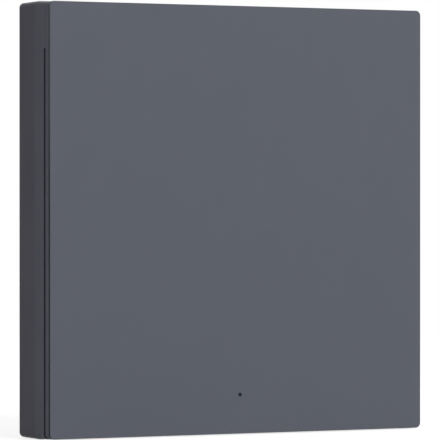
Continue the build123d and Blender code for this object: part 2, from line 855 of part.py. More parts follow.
# The terminal block: a pocket for each cage, open to the back, and a funnel for each wire
pocket_x = cage_width / 2 + cage_gap
pocket_z = cage_length / 2 + cage_gap
block_width = (terminal_count - 1) * terminal_pitch + 2 * pocket_x + 2 * terminal_wall
block_top_z = terminal_z + pocket_z + terminal_wall
pin_z = block_top_z - busbar_thickness / 2
with BuildPart() as terminal_block:
    with BuildSketch(Plane.XY.offset(terminal_bottom_z)):
        with Locations((0, (terminal_back_y - power_h) / 2)):
            Rectangle(block_width, terminal_back_y + power_h)
    extrude(amount=block_top_z - terminal_bottom_z)
    with BuildSketch(level(-terminal_back_y)):
        with Locations((0, terminal_z)):
            with GridLocations(terminal_pitch, 0, terminal_count, 1):
                Rectangle(2 * pocket_x, 2 * pocket_z)
    extrude(amount=terminal_back_y - jaw_front_y + cage_gap, mode=Mode.SUBTRACT)
    with BuildSketch(Plane.XY.offset(terminal_bottom_z)):
        with Locations((0, wire_y)):
            with GridLocations(terminal_pitch, 0, terminal_count, 1):
                Rectangle(wire_hole_width, wire_hole_height)
    extrude(amount=terminal_z - terminal_bottom_z, mode=Mode.SUBTRACT)
    # Slots for the busbars, up out of the pockets and on to the power board
    with BuildSketch(Plane.XY.offset(terminal_z)):
        with Locations((0, (busbar_front_y + busbar_back_y) / 2)):
            with GridLocations(terminal_pitch, 0, terminal_count, 1):
                Rectangle(busbar_width + busbar_fit, busbar_thickness + busbar_fit)
    extrude(amount=block_top_z - terminal_z, mode=Mode.SUBTRACT)
terminal_block.part.label = "terminal_block"
export_step(terminal_block.part, "parts/terminal_block.step")

# Busbars: up through the cage and the block, then forwards along the block to the board
busbar_low_z = terminal_z - cage_length / 2
riser_z = block_top_z + busbar_fit
with BuildPart() as terminal_busbars:
    for number in range(terminal_count):
        busbar_x = (number - (terminal_count - 1) / 2) * terminal_pitch
        with BuildSketch(Plane.YZ.offset(busbar_x - busbar_width / 2)):
            with BuildLine():
                Polyline(
                    (busbar_back_y, busbar_low_z),
                    (busbar_back_y, riser_z + busbar_thickness),
                    (-power_h, riser_z + busbar_thickness),
                    (-power_h, riser_z),
                    (busbar_front_y, riser_z),
                    (busbar_front_y, busbar_low_z),
                    close=True,
                )
            make_face()
        extrude(amount=busbar_width)
terminal_busbars.part.label = "terminal_busbars"
export_step(terminal_busbars.part, "parts/terminal_busbars.step")

# Each terminal: a screw held in its length, and the cage that climbs its thread
for number in range(terminal_count):
    terminal_x = (number - (terminal_count - 1) / 2) * terminal_pitch
    with BuildPart() as terminal_screw:
        with BuildSketch(level(-head_front_y)):
            with Locations((terminal_x, terminal_z)):
                Circle(terminal_screw_radius)
        extrude(amount=head_front_y - screw_tip_y)
        with BuildSketch(level(-screw_back_y)):
            with Locations((terminal_x, terminal_z)):
                Circle(terminal_head_radius)
        extrude(amount=terminal_head_height)
        with BuildSketch(level(-screw_back_y)):
            with Locations((terminal_x, terminal_z)):
                Rectangle(2 * terminal_head_radius, terminal_slot_width)
        extrude(amount=terminal_slot_depth, mode=Mode.SUBTRACT)
    terminal_screw.part.label = f"terminal_screw_{number + 1}"
    export_step(terminal_screw.part, f"parts/terminal_screw_{number + 1}.step")

    with BuildPart() as terminal_cage:
        with BuildSketch(level(-nut_back_y)):
            with Locations((terminal_x, terminal_z)):
                Rectangle(cage_width, cage_length)
        extrude(amount=nut_back_y - jaw_front_y)
        with BuildSketch(level(-nut_front_y)):
            with Locations((terminal_x, terminal_z)):
                Rectangle(cage_width - 2 * cage_wall, cage_length)
        extrude(amount=nut_front_y - jaw_back_y, mode=Mode.SUBTRACT)
        with BuildSketch(level(-nut_back_y)):
            with Locations((terminal_x, terminal_z)):
                Circle(terminal_screw_radius + terminal_screw_fit)
        extrude(amount=cage_nut, mode=Mode.SUBTRACT)
    terminal_cage.part.label = f"terminal_cage_{number + 1}"
    export_step(terminal_cage.part, f"parts/terminal_cage_{number + 1}.step")

# The components stand on the power board in two columns, evenly spaced from the busbars to
# the top of the housing
bobbin_inner_z = core_depth / 2 + winding_gap
flange_z = core_depth / 2 + core_window_width - winding_gap
column_start_z = riser_z + busbar_thickness
column_length = box_height / 2 - box_wall - column_start_z
right_length = 2 * flange_z + film_depth + varistor_thickness + 2 * choke_radius
right_gap = (column_length - right_length) / 5
core_z = column_start_z + right_gap + flange_z
film_z = core_z + flange_z + right_gap + film_depth / 2
varistor_z = film_z + film_depth / 2 + right_gap + varistor_thickness / 2
choke_z = varistor_z + varistor_thickness / 2 + right_gap + choke_radius
left_length = relay_depth + 2 * capacitor_radius + 2 * fuse_radius
left_gap = (column_length - left_length) / 4
relay_z = column_start_z + left_gap + relay_depth / 2
capacitor_z = relay_z + relay_depth / 2 + left_gap + capacitor_radius
fuse_z = capacitor_z + capacitor_radius + left_gap + fuse_radius
bridge_z = fuse_z - bridge_drop

# The power board
with BuildPart() as power_board:
    with BuildSketch(level(power_h)):
        box_outline(box_wall + power_board_gap)
    extrude(amount=power_board_thickness)
power_board.part.label = "power_board"
export_step(power_board.part, "parts/power_board.step")


def behind_board(depth):
    """The plane at a depth behind the power board, looking at the room."""
    return level(power_h - depth)


# The relay: a base with its pins and a case over it
with BuildPart() as relay_base:
    with BuildSketch(behind_board(lead_stub + relay_base_thickness)):
        with Locations((relay_x, relay_z)):
            Rectangle(relay_width, relay_depth)
    extrude(amount=relay_base_thickness)
    with BuildSketch(behind_board(lead_stub)):
        with Locations((relay_x, relay_z)):
            with GridLocations(relay_pin_x, relay_pin_z, 2, 2):
                Rectangle(2 * lead_width, lead_width)
    extrude(amount=lead_stub)
relay_base.part.label = "relay_base"
export_step(relay_base.part, "parts/relay_base.step")

with BuildPart() as relay_case:
    with BuildSketch(behind_board(relay_height)):
        with Locations((relay_x, relay_z)):
            Rectangle(relay_width, relay_depth)
    extrude(amount=relay_height - lead_stub - relay_base_thickness)
    chamfer(relay_case.faces().sort_by(Axis.Y)[-1].edges(), relay_edge)
relay_case.part.label = "relay_case"
export_step(relay_case.part, "parts/relay_case.step")

# The transformer: a core with two windows, a bobbin on its middle leg and the winding
core_top = bobbin_foot + core_height
window_middle = bobbin_foot + core_height / 2
leg_width = (core_width - 2 * core_window_width) / 4
bobbin_inner_x = leg_width + winding_gap
bobbin_outer_x = bobbin_inner_x + bobbin_wall
bobbin_outer_z = bobbin_inner_z + bobbin_wall
flange_x = leg_width + core_window_width - winding_gap
window_front = window_middle - core_window_height / 2 + winding_gap
window_back = window_middle + core_window_height / 2 - winding_gap
with BuildPart() as transformer_core:
    with BuildSketch(Plane.XY.offset(core_z - core_depth / 2)):
        with Locations((core_x, window_middle - power_h)):
            Rectangle(core_width, core_height)
            with GridLocations(2 * leg_width + core_window_width, 0, 2, 1):
                Rectangle(core_window_width, core_window_height, mode=Mode.SUBTRACT)
    extrude(amount=core_depth)
transformer_core.part.label = "transformer_core"
export_step(transformer_core.part, "parts/transformer_core.step")

with BuildPart() as transformer_bobbin:
    with BuildSketch(behind_board(window_back)):
        with Locations((core_x, core_z)):
            Rectangle(2 * bobbin_outer_x, 2 * bobbin_outer_z)
    extrude(amount=window_back - window_front)
    for flange_depth in (window_back, window_front + bobbin_flange):
        with BuildSketch(behind_board(flange_depth)):
            with Locations((core_x, core_z)):
                Rectangle(2 * flange_x, 2 * flange_z)
        extrude(amount=bobbin_flange)
    with BuildSketch(behind_board(window_front + bobbin_flange)):
        with Locations((core_x, core_z)):
            with GridLocations(0, core_depth + core_window_width + winding_gap, 1, 2):
                Rectangle(2 * flange_x, core_window_width / 2)
    extrude(amount=window_front + bobbin_flange)
    with BuildSketch(behind_board(window_back)):
        with Locations((core_x, core_z)):
            Rectangle(2 * bobbin_inner_x, 2 * bobbin_inner_z)
    extrude(amount=window_back - window_front, mode=Mode.SUBTRACT)
transformer_bobbin.part.label = "transformer_bobbin"
export_step(transformer_bobbin.part, "parts/transformer_bobbin.step")

with BuildPart() as transformer_winding:
    with BuildSketch(behind_board(window_back - bobbin_flange - winding_gap)):
        with Locations((core_x, core_z)):
            RectangleRounded(2 * (flange_x - winding_gap), 2 * (flange_z - winding_gap), winding_corner)
            Rectangle(2 * (bobbin_outer_x + winding_gap), 2 * (bobbin_outer_z + winding_gap), mode=Mode.SUBTRACT)
    extrude(amount=window_back - window_front - 2 * bobbin_flange - 2 * winding_gap)
transformer_winding.part.label = "transformer_winding"
export_step(transformer_winding.part, "parts/transformer_winding.step")

# The other large components, standing on the back of the power board
with BuildPart() as bulk_capacitors:
    with BuildSketch(behind_board(capacitor_height)):
        with Locations((capacitor_x, capacitor_z)):
            with GridLocations(capacitor_pitch, 0, 2, 1):
                Circle(capacitor_radius)
    extrude(amount=capacitor_height)
bulk_capacitors.part.label = "bulk_capacitors"
export_step(bulk_capacitors.part, "parts/bulk_capacitors.step")

with BuildPart() as film_capacitor:
    with BuildSketch(behind_board(film_height)):
        with Locations((film_x, film_z)):
            Rectangle(film_width, film_depth)
    extrude(amount=film_height)
    chamfer(film_capacitor.faces().sort_by(Axis.Y)[-1].edges(), relay_edge)
film_capacitor.part.label = "film_capacitor"
export_step(film_capacitor.part, "parts/film_capacitor.step")

with BuildPart() as varistor:
    with BuildSketch(Plane.XY.offset(varistor_z - varistor_thickness / 2)):
        with Locations((varistor_x, lead_stub + varistor_radius - power_h)):
            Circle(varistor_radius)
    extrude(amount=varistor_thickness)
    with BuildSketch(behind_board(lead_stub + varistor_radius)):
        with Locations((varistor_x, varistor_z)):
            with GridLocations(varistor_radius, 0, 2, 1):
                Rectangle(lead_width, lead_width)
    extrude(amount=lead_stub + varistor_radius)
varistor.part.label = "varistor"
export_step(varistor.part, "parts/varistor.step")

with BuildPart() as fuse_resistor:
    with BuildSketch(Plane.YZ.offset(fuse_x - fuse_length / 2)):
        with Locations((lead_stub + fuse_radius - power_h, fuse_z)):
            Circle(fuse_radius)
    extrude(amount=fuse_length)
    with BuildSketch(behind_board(lead_stub + fuse_radius)):
        with Locations((fuse_x, fuse_z)):
            with GridLocations(fuse_length + 2 * lead_stub, 0, 2, 1):
                Rectangle(lead_width, lead_width)
    extrude(amount=lead_stub + fuse_radius)
    with BuildSketch(Plane.YZ.offset(fuse_x - fuse_length / 2 - lead_stub)):
        with Locations((lead_stub + fuse_radius - power_h, fuse_z)):
            Rectangle(lead_width, lead_width)
    extrude(amount=fuse_length + 2 * lead_stub)
fuse_resistor.part.label = "fuse_resistor"
export_step(fuse_resistor.part, "parts/fuse_resistor.step")

with BuildPart() as bridge_rectifier:
    with BuildSketch(behind_board(bridge_height)):
        with Locations((bridge_x, bridge_z)):
            Rectangle(bridge_width, bridge_depth)
    extrude(amount=bridge_height)
    chamfer(bridge_rectifier.faces().sort_by(Axis.Y)[-1].edges(), bridge_edge)
bridge_rectifier.part.label = "bridge_rectifier"
export_step(bridge_rectifier.part, "parts/bridge_rectifier.step")

with BuildPart() as choke_core:
    for choke_depth in (choke_flange, choke_height):
        with BuildSketch(behind_board(choke_depth)):
            with Locations((choke_x, choke_z)):
                Circle(choke_radius)
        extrude(amount=choke_flange)
    with BuildSketch(behind_board(choke_height)):
        with Locations((choke_x, choke_z)):
            Circle(choke_core_radius)
    extrude(amount=choke_height)
choke_core.part.label = "choke_core"
export_step(choke_core.part, "parts/choke_core.step")

with BuildPart() as choke_winding:
    with BuildSketch(behind_board(choke_height - choke_flange - winding_gap)):
        with Locations((choke_x, choke_z)):
            Circle(choke_radius - 2 * winding_gap)
            Circle(choke_core_radius + winding_gap, mode=Mode.SUBTRACT)
    extrude(amount=choke_height - 2 * choke_flange - 2 * winding_gap)
choke_winding.part.label = "choke_winding"
export_step(choke_winding.part, "parts/choke_winding.step")

# The plug-in header between the two boards
power_front_h = power_h + power_board_thickness
socket_back_h = flange_h - header_socket_height
header_length = header_pins_count * header_pitch
with BuildPart() as header_socket:
    with BuildSketch(level(socket_back_h)):
        with Locations((0, header_z)):
            Rectangle(header_length, header_width)
            with GridLocations(header_pitch, 0, header_pins_count, 1):
                Rectangle(header_slot, header_slot, mode=Mode.SUBTRACT)
    extrude(amount=header_socket_height)
header_socket.part.label = "header_socket"
export_step(header_socket.part, "parts/header_socket.step")

with BuildPart() as header_pins:
    with BuildSketch(level(power_front_h)):
        with Locations((0, header_z)):
            Rectangle(header_length, header_width)
    extrude(amount=header_base)
    with BuildSketch(level(power_front_h)):
        with Locations((0, header_z)):
            with GridLocations(header_pitch, 0, header_pins_count, 1):
                Rectangle(header_pin, header_pin)
    extrude(amount=flange_h - header_pin_top_gap - power_front_h)
header_pins.part.label = "header_pins"
export_step(header_pins.part, "parts/header_pins.step")

# The insulating sheet under the control board, round the header
with BuildPart() as insulating_sheet:
    with BuildSketch(level(flange_h - sheet_thickness)):
        box_outline(box_wall + sheet_gap)
        with Locations((0, header_z)):
            Rectangle(header_length + 2 * sheet_gap, header_width + 2 * sheet_gap, mode=Mode.SUBTRACT)
    extrude(amount=sheet_thickness)
insulating_sheet.part.label = "insulating_sheet"
export_step(insulating_sheet.part, "parts/insulating_sheet.step")

print("rocker swing in degrees:", round(rocker_swing * 180 / pi, 4))
print("stroke of the plunger:", round(plunger_stroke, 4))
print("hinge axis:", 0, -hinge_h, hinge_z)
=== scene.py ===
import json
import math

import bmesh
import bpy
from bmesh.types import BMFace, BMVert
from mathutils import Matrix, Vector


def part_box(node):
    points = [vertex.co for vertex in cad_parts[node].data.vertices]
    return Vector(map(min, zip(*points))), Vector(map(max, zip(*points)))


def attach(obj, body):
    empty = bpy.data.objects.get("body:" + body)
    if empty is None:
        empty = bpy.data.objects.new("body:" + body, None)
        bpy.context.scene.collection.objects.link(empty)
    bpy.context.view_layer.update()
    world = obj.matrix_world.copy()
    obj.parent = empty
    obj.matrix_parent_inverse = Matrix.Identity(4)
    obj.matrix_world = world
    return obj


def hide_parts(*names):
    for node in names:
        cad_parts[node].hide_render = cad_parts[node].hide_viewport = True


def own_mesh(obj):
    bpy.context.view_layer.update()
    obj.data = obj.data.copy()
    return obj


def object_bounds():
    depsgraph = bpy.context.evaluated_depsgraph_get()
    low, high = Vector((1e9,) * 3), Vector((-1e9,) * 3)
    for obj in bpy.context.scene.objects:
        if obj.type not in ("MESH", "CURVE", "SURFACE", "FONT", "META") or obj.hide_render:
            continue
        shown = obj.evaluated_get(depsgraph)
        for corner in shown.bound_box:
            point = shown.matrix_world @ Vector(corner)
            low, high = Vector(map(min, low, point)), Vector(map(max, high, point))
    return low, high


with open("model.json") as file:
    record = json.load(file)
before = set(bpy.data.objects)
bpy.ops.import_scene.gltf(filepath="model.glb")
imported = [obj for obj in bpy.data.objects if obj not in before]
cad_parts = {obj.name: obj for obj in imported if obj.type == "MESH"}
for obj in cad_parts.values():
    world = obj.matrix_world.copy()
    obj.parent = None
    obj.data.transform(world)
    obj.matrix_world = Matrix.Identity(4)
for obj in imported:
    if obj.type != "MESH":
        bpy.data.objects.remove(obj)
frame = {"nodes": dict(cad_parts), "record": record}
cad_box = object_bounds()

# The axes are the part's own: X to the right, Y into the wall, Z up. Meshes are made in
# millimetres, and settle() brings them to metres. Materials, lamps and the camera are in metres,
# where mm stands for a thousandth of one.
mm = 0.001
scene = bpy.context.scene

# Camera, solved from the photograph's perspective
camera_place = Vector((-403.2, -710.3, 3.9)) * mm
camera_aim = Vector((0.49619, 0.8682, -0.0049))
sensor_width = 36.0
lens_length = 329.3

# Studio
sky_strength = 0.268
floor_glow = 0.68
floor_tone = 0.8
floor_drop = 0.02 * mm
fade_start, fade_end = 0.15, 0.6

# In millimetres: corners this close are joined, and corners this close to a level lie on it
weld = 0.0005
tight = 0.01


def body_of_node(node):
    """The body that a CAD node belongs to."""
    bodies = frame["record"]["behaviour"]["bodies"]
    return next(body for body, nodes in bodies.items() if node in nodes)


def slot_of_node(node):
    """The record's material slot of a CAD node."""
    subparts = frame["record"]["subparts"]
    return next(part["material_slot"] for part in subparts if part["node"] == node)


def box_of(node):
    """A CAD node's lowest and highest corners, its middle and half its size, in millimetres."""
    low, high = (Vector(corner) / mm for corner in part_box(node))
    return low, high, (low + high) / 2, (high - low) / 2


# Materials


def put(tree, value, socket):
    """Links a socket to an output, or sets it to a value."""
    if isinstance(value, bpy.types.NodeSocket):
        tree.links.new(value, socket)
    else:
        socket.default_value = value


def added(tree, kind, **sockets):
    """A new shader node, with each named socket linked to an output or set to a value."""
    node = tree.nodes.new("ShaderNode" + kind)
    for name, value in sockets.items():
        put(tree, value, node.inputs[name.replace("_", " ").title()])
    return node


def start_finish(name):
    """A new material with its node tree and the object's own coordinates."""
    material = bpy.data.materials.new(name)
    material.use_nodes = True
    tree = material.node_tree
    return material, tree, added(tree, "TexCoord").outputs["Object"]


def stretched(tree, place, along):
    """Coordinates scaled by a vector, so that a pattern is drawn out or pressed together."""
    return added(tree, "Mapping", vector=place, scale=along).outputs["Vector"]


def swung(tree, place, x, z):
    """Coordinates turned by some degrees about X and Z."""
    angles = (math.radians(x), 0, math.radians(z))
    return added(tree, "Mapping", vector=place, rotation=angles).outputs["Vector"]


def mottle(tree, place, size, detail=2.0, roughness=0.5):
    """A smooth random value from 0 to 1, whose patches are about as wide as size."""
    noise = added(
        tree, "TexNoise", vector=place, scale=1 / size, detail=detail, roughness=roughness
    )
    return noise.outputs["Fac"]


def spread(tree, value, low, high, start=0.3, end=0.7):
    """A value mapped from start and end to low and high."""
    ramp = added(
        tree, "MapRange", value=value, from_min=start, from_max=end, to_min=low, to_max=high
    )
    return ramp.outputs["Result"]


def worked(tree, operation, first, second=0):
    """The result of a sum on two values, either of which may be a number."""
    node = tree.nodes.new("ShaderNodeMath")
    node.operation = operation
    put(tree, first, node.inputs[0])
    put(tree, second, node.inputs[1])
    return node.outputs["Value"]


def tinted(tree, value, first, second, blend="MIX"):
    """A colour that runs from first to second with a value from 0 to 1."""
    mix = tree.nodes.new("ShaderNodeMix")
    mix.data_type = "RGBA"
    mix.blend_type = blend
    put(tree, value, mix.inputs[0])
    for socket, colour in zip(mix.inputs[6:8], (first, second)):
        put(tree, (*colour, 1) if isinstance(colour, tuple) else colour, socket)
    return mix.outputs[2]


def times(colour, factor):
    """A colour made lighter or darker."""
    return tuple(channel * factor for channel in colour)


def toned(tree, pattern, colour, darkest, lightest):
    """A colour whose tone follows a pattern between two factors."""
    value = spread(tree, pattern, 0, 1)
    return tinted(tree, value, times(colour, darkest), times(colour, lightest))


def shade_painted_in_hollows(tree, colour, reach, share):
    """A colour darkened in grooves and corners by painted shade, from ambient occlusion."""
    hollow = added(tree, "AmbientOcclusion", distance=reach)
    hollow.samples = 8
    painted_shade_factor = spread(tree, hollow.outputs["AO"], share, 1.0, 0.35, 0.9)
    return tinted(tree, 1.0, colour, painted_shade_factor, "MULTIPLY")


def finished(material, base, roughness, heights, edge=0.0, others=None):
    """Gives a material its colour, its roughness, its relief and other values.

    The relief is (value, height) pairs, over edges rounded by a radius."""
    tree = material.node_tree
    shader = tree.nodes["Principled BSDF"]
    values = {"Base Color": base, "Roughness": roughness, **(others or {})}
    for name, value in values.items():
        put(tree, value, shader.inputs[name])
    below = None
    if edge:
        rounding = added(tree, "Bevel", radius=edge)
        rounding.samples = 4
        below = rounding.outputs["Normal"]
    for value, height in heights:
        bump = added(tree, "Bump", strength=1.0, distance=height, height=value)
        if below is not None:
            put(tree, below, bump.inputs["Normal"])
        below = bump.outputs["Normal"]
    put(tree, below, shader.inputs["Normal"])
    return material


def moulded_plastic(name, colour, roughness=0.55, grain=0.12 * mm, grain_height=0.004 * mm,
                    gloss=0.3, edge=0.1 * mm, patch=0.02, dust_and_painted_shade=0.0):
    """Moulded plastic: a fine eroded grain, flow mottling, faint rubbing from handling and, where
    asked, painted shade in grooves and corners.
    """
    material, tree, place = start_finish(name)
    flow = mottle(tree, place, 18 * mm, detail=3)
    base = toned(tree, flow, colour, 1 - patch, 1 + patch)
    # Painted shade: where asked, ambient occlusion darkens the colour in grooves, slits and
    # corners.
    if dust_and_painted_shade:
        base = shade_painted_in_hollows(tree, base, dust_and_painted_shade, 0.3)
    drawn = stretched(tree, place, (1.0, 1.0, 0.2))
    rubbed = mottle(tree, drawn, 2.5 * mm, detail=6, roughness=0.7)
    polish = spread(tree, rubbed, roughness + 0.05, roughness - 0.05)
    fine = mottle(tree, place, grain, detail=1)
    others = {"Specular IOR Level": gloss}
    return finished(material, base, polish, [(fine, grain_height)], edge, others)


def plated_steel(name, colour, roughness=0.38, drawn=(1.0, 1.0, 1.0), edge=0.1 * mm):
    """Zinc-plated sheet or screw steel: faint spangle, rolling lines and dull handled patches."""
    material, tree, place = start_finish(name)
    spangle = added(tree, "TexVoronoi", vector=place, scale=1 / (2.2 * mm)).outputs["Color"]
    lines = mottle(tree, stretched(tree, place, drawn), 0.5 * mm, detail=5, roughness=0.65)
    dulled = mottle(tree, place, 9 * mm, detail=4)
    tone = worked(
        tree, "ADD", spread(tree, spangle, 0, 0.35, 0, 1), spread(tree, dulled, 0, 0.65)
    )
    base = tinted(tree, tone, times(colour, 0.82), times(colour, 1.06))
    handled = spread(tree, dulled, roughness + 0.08, roughness - 0.05)
    worn = worked(tree, "ADD", spread(tree, lines, -0.06, 0.06), handled)
    relief = [(lines, 0.004 * mm), (dulled, 0.02 * mm)]
    return finished(material, base, worn, relief, edge, {"Metallic": 1.0})


def bare_metal(name, colour, roughness=0.3, tarnish=(0.3, 0.2, 0.1)):
    """Stamped brass or bright wire: tool lines and a little tarnish."""
    material, tree, place = start_finish(name)
    drawn = stretched(tree, place, (1.0, 0.15, 1.0))
    lines = mottle(tree, drawn, 0.3 * mm, detail=5, roughness=0.7)
    dulled = mottle(tree, place, 2.5 * mm, detail=5)
    base = tinted(tree, spread(tree, dulled, 0, 0.35, 0.5, 0.8), colour, tarnish)
    worn = spread(tree, lines, roughness - 0.06, roughness + 0.1)
    relief = [(lines, 0.003 * mm)]
    return finished(material, base, worn, relief, 0.08 * mm, {"Metallic": 1.0})


def glossy_coat(name, colour, roughness=0.3, swell_height=0.02 * mm):
    """A smooth skin such as a dipped coat, a sleeve or a moulded case."""
    material, tree, place = start_finish(name)
    waves = mottle(tree, place, 1.2 * mm)
    dust_and_painted_shade = mottle(tree, place, 0.4 * mm, detail=4)
    base = toned(tree, waves, colour, 0.93, 1.07)
    dull = spread(tree, dust_and_painted_shade, roughness - 0.04, roughness + 0.12)
    return finished(material, base, dull, [(waves, swell_height)], 0.15 * mm)


def enamelled_wire(name, colour):
    """Enamelled copper, with painted shade that darkens it between the turns."""
    material, tree, place = start_finish(name)
    scuffed = mottle(tree, stretched(tree, place, (0.3, 1.0, 0.3)), 0.25 * mm, detail=4)
    # Painted shade: ambient occlusion darkens the wire's colour between its turns.
    base = shade_painted_in_hollows(tree, toned(tree, scuffed, colour, 0.8, 1.15), 0.15 * mm, 0.12)
    dull = spread(tree, scuffed, 0.23, 0.4)
    return finished(material, base, dull, [(scuffed, 0.004 * mm)], others={"Metallic": 0.85})


def copper_runs(tree, place, width, length):
    """Copper runs side by side under the lacquer: 1 on the copper and 0 in the gaps."""
    copper, gap = (1, 1, 1, 1), (0, 0, 0, 1)
    runs = added(
        tree, "TexBrick", vector=place, color1=copper, color2=copper, mortar=gap, scale=1 / mm,
        row_height=width, brick_width=length, mortar_size=0.14, mortar_smooth=0.3,
    )
    return runs.outputs["Color"]


def solder_mask(name, lacquer, laminate):
    """A printed board: lacquer over copper runs and fields, and bare laminate at its edges."""
    material, tree, place = start_finish(name)
    # The patterns are flat. They are turned to lie on a board that stands in the XZ plane.
    flat = swung(tree, place, 90, 0)
    fields = added(tree, "TexVoronoi", vector=flat, scale=1 / (9 * mm))
    fields.voronoi_dimensions = "2D"
    fields.distance = "CHEBYCHEV"
    choice = added(tree, "SeparateColor", color=fields.outputs["Color"])
    across = copper_runs(tree, flat, 0.9, 11.0)
    along = copper_runs(tree, swung(tree, flat, 0, 90), 1.3, 7.0)
    is_along = worked(tree, "GREATER_THAN", choice.outputs["Red"], 0.6)
    is_field = worked(tree, "GREATER_THAN", choice.outputs["Green"], 0.62)
    runs = added(tree, "Mix", factor=is_along, a=across, b=along)
    copper = worked(tree, "MAXIMUM", runs.outputs["Result"], is_field)
    over = tinted(tree, copper, lacquer, times(lacquer, 1.7))
    facing = added(tree, "SeparateXYZ", vector=added(tree, "NewGeometry").outputs["Normal"])
    is_flat = worked(tree, "GREATER_THAN", worked(tree, "ABSOLUTE", facing.outputs["Y"]), 0.5)
    fibres = mottle(tree, stretched(tree, place, (1.0, 8.0, 1.0)), 0.4 * mm, detail=4)
    bare = tinted(tree, fibres, times(laminate, 0.75), times(laminate, 1.15))
    base = tinted(tree, is_flat, bare, over)
    grainy = mottle(tree, place, 0.5 * mm, detail=3)
    relief = [(worked(tree, "MULTIPLY", copper, is_flat), 0.03 * mm), (grainy, 0.004 * mm)]
    return finished(material, base, spread(tree, grainy, 0.3, 0.45), relief)


def clear_plastic(name):
    """Clear polished plastic of the light pipe, with a few flow lines."""
    material, tree, place = start_finish(name)
    flow = mottle(tree, stretched(tree, place, (1.0, 0.2, 1.0)), 0.8 * mm, detail=3)
    polish = spread(tree, flow, 0.04, 0.14)
    others = {"Transmission Weight": 0.9, "IOR": 1.49}
    tint = (0.86, 0.89, 0.9, 1)
    return finished(material, tint, polish, [(flow, 0.005 * mm)], 0.05 * mm, others)


def fibre_sheet(name, colour):
    """Pressed fibre paper."""
    material, tree, place = start_finish(name)
    drawn = stretched(tree, place, (1.0, 1.0, 0.25))
    fibres = mottle(tree, drawn, 0.3 * mm, detail=6, roughness=0.75)
    base = toned(tree, fibres, colour, 0.85, 1.12)
    return finished(material, base, spread(tree, fibres, 0.75, 0.9), [(fibres, 0.01 * mm)])


slate = (0.0925, 0.1, 0.1235)
finishes = {
    # The rocker and the ring get painted shade in their slit, shadow line and grooves.
    "rocker_plastic": moulded_plastic(
        "rocker slate", slate, gloss=0.12, edge=0.03 * mm, patch=0.008, dust_and_painted_shade=0.4 * mm),
    # The ring's slate is the rocker's made 8% lighter: painted light on the ring's drafted band.
    "frame_plastic": moulded_plastic(
        "ring slate", times(slate, 1.08), gloss=0.12, edge=0.03 * mm, dust_and_painted_shade=0.4 * mm),
    # The wall frame's slate is darker than the rocker's: painted shade on the same moulded
    # plastic.
    "wall_frame_plastic": moulded_plastic(
        "wall frame slate", (0.066, 0.066, 0.086), gloss=0.12, edge=0.03 * mm),
    "cover_plastic": moulded_plastic("cover grey", (0.55, 0.56, 0.57), 0.5),
    "housing_plastic": moulded_plastic(
        "housing black", (0.03, 0.031, 0.034), 0.48, 0.25 * mm, 0.008 * mm, 0.5, 0.2 * mm),
    "terminal_plastic": moulded_plastic("terminal green", (0.03, 0.16, 0.09), 0.4, gloss=0.5),
    "smoked_lens": moulded_plastic(
        "smoked lens", (0.009, 0.011, 0.018), 0.5, gloss=0.05, edge=0.03 * mm),
    "clear_plastic": clear_plastic("light pipe clear"),
    "strap_steel": plated_steel("strap zinc", (0.66, 0.66, 0.64), drawn=(1.0, 1.0, 0.08)),
    "screw_steel": plated_steel("screw zinc", (0.62, 0.62, 0.6), 0.3, edge=0.08 * mm),
    "spring_steel": bare_metal("spring wire", (0.5, 0.5, 0.51), 0.25, (0.35, 0.33, 0.3)),
    "terminal_brass": bare_metal("terminal brass", (0.75, 0.58, 0.28)),
    "copper_wire": enamelled_wire("copper winding", (0.6, 0.22, 0.09)),
    "board_green": solder_mask("board green", (0.015, 0.085, 0.04), (0.42, 0.36, 0.2)),
    "tin_shield": plated_steel("tinned shield", (0.7, 0.7, 0.68), 0.3, (0.1, 1.0, 1.0)),
    "black_plastic": moulded_plastic("component black", (0.018, 0.018, 0.02), 0.45, gloss=0.5),
    "relay_plastic": glossy_coat("relay blue", (0.02, 0.09, 0.32)),
    "capacitor_sleeve": glossy_coat("capacitor sleeve", (0.02, 0.02, 0.03), 0.25),
    "film_case": glossy_coat("film capacitor yellow", (0.6, 0.4, 0.03)),
    "varistor_coat": glossy_coat("varistor blue", (0.03, 0.14, 0.4), 0.28, 0.08 * mm),
    "resistor_coat": glossy_coat("resistor green", (0.12, 0.28, 0.2), 0.5, 0.05 * mm),
    "ferrite": moulded_plastic("ferrite", (0.03, 0.029, 0.028), 0.6, 0.2 * mm, 0.01 * mm),
    "lamp_white": glossy_coat("lamp white", (0.8, 0.78, 0.66)),
    "insulating_paper": fibre_sheet("fish paper", (0.42, 0.4, 0.36)),
}

# Modelling helpers. All of them work on a mesh in millimetres.


def copied(node):
    """A CAD node's mesh, with its loose triangles joined."""
    mesh = bmesh.new()
    mesh.from_mesh(frame["nodes"][node].data)
    bmesh.ops.scale(mesh, vec=(1 / mm,) * 3, verts=mesh.verts)
    bmesh.ops.remove_doubles(mesh, verts=mesh.verts, dist=weld)
    return mesh


def simplified(node):
    """A CAD node's mesh, with the triangles of each flat face joined into one."""
    mesh = copied(node)
    bmesh.ops.dissolve_limit(
        mesh, angle_limit=math.radians(0.2), use_dissolve_boundaries=False, verts=mesh.verts,
        edges=mesh.edges, delimit=set(),
    )
    return mesh


def only(parts, kind):
    """The parts of one kind among what an operator made."""
    return [part for part in parts if isinstance(part, kind)]


def with_rims(faces):
    """Some faces with their edges and corners."""
    parts = (part for face in faces for part in (face, *face.edges, *face.verts))
    return list(dict.fromkeys(parts))


def cut_across(mesh, point, normal, faces=None):
    """Cuts a mesh, or some of its faces, along a plane."""
    parts = [*mesh.verts, *mesh.edges, *mesh.faces] if faces is None else with_rims(faces)
    return bmesh.ops.bisect_plane(mesh, geom=parts, dist=weld, plane_co=point, plane_no=normal)


def ease(mesh, edges, size, segments=2):
    """Rounds edges off."""
    bmesh.ops.bevel(
        mesh, geom=list(edges), offset=size, offset_type="OFFSET", affect="EDGES",
        segments=segments, profile=0.5, material=-1, clamp_overlap=True,
    )


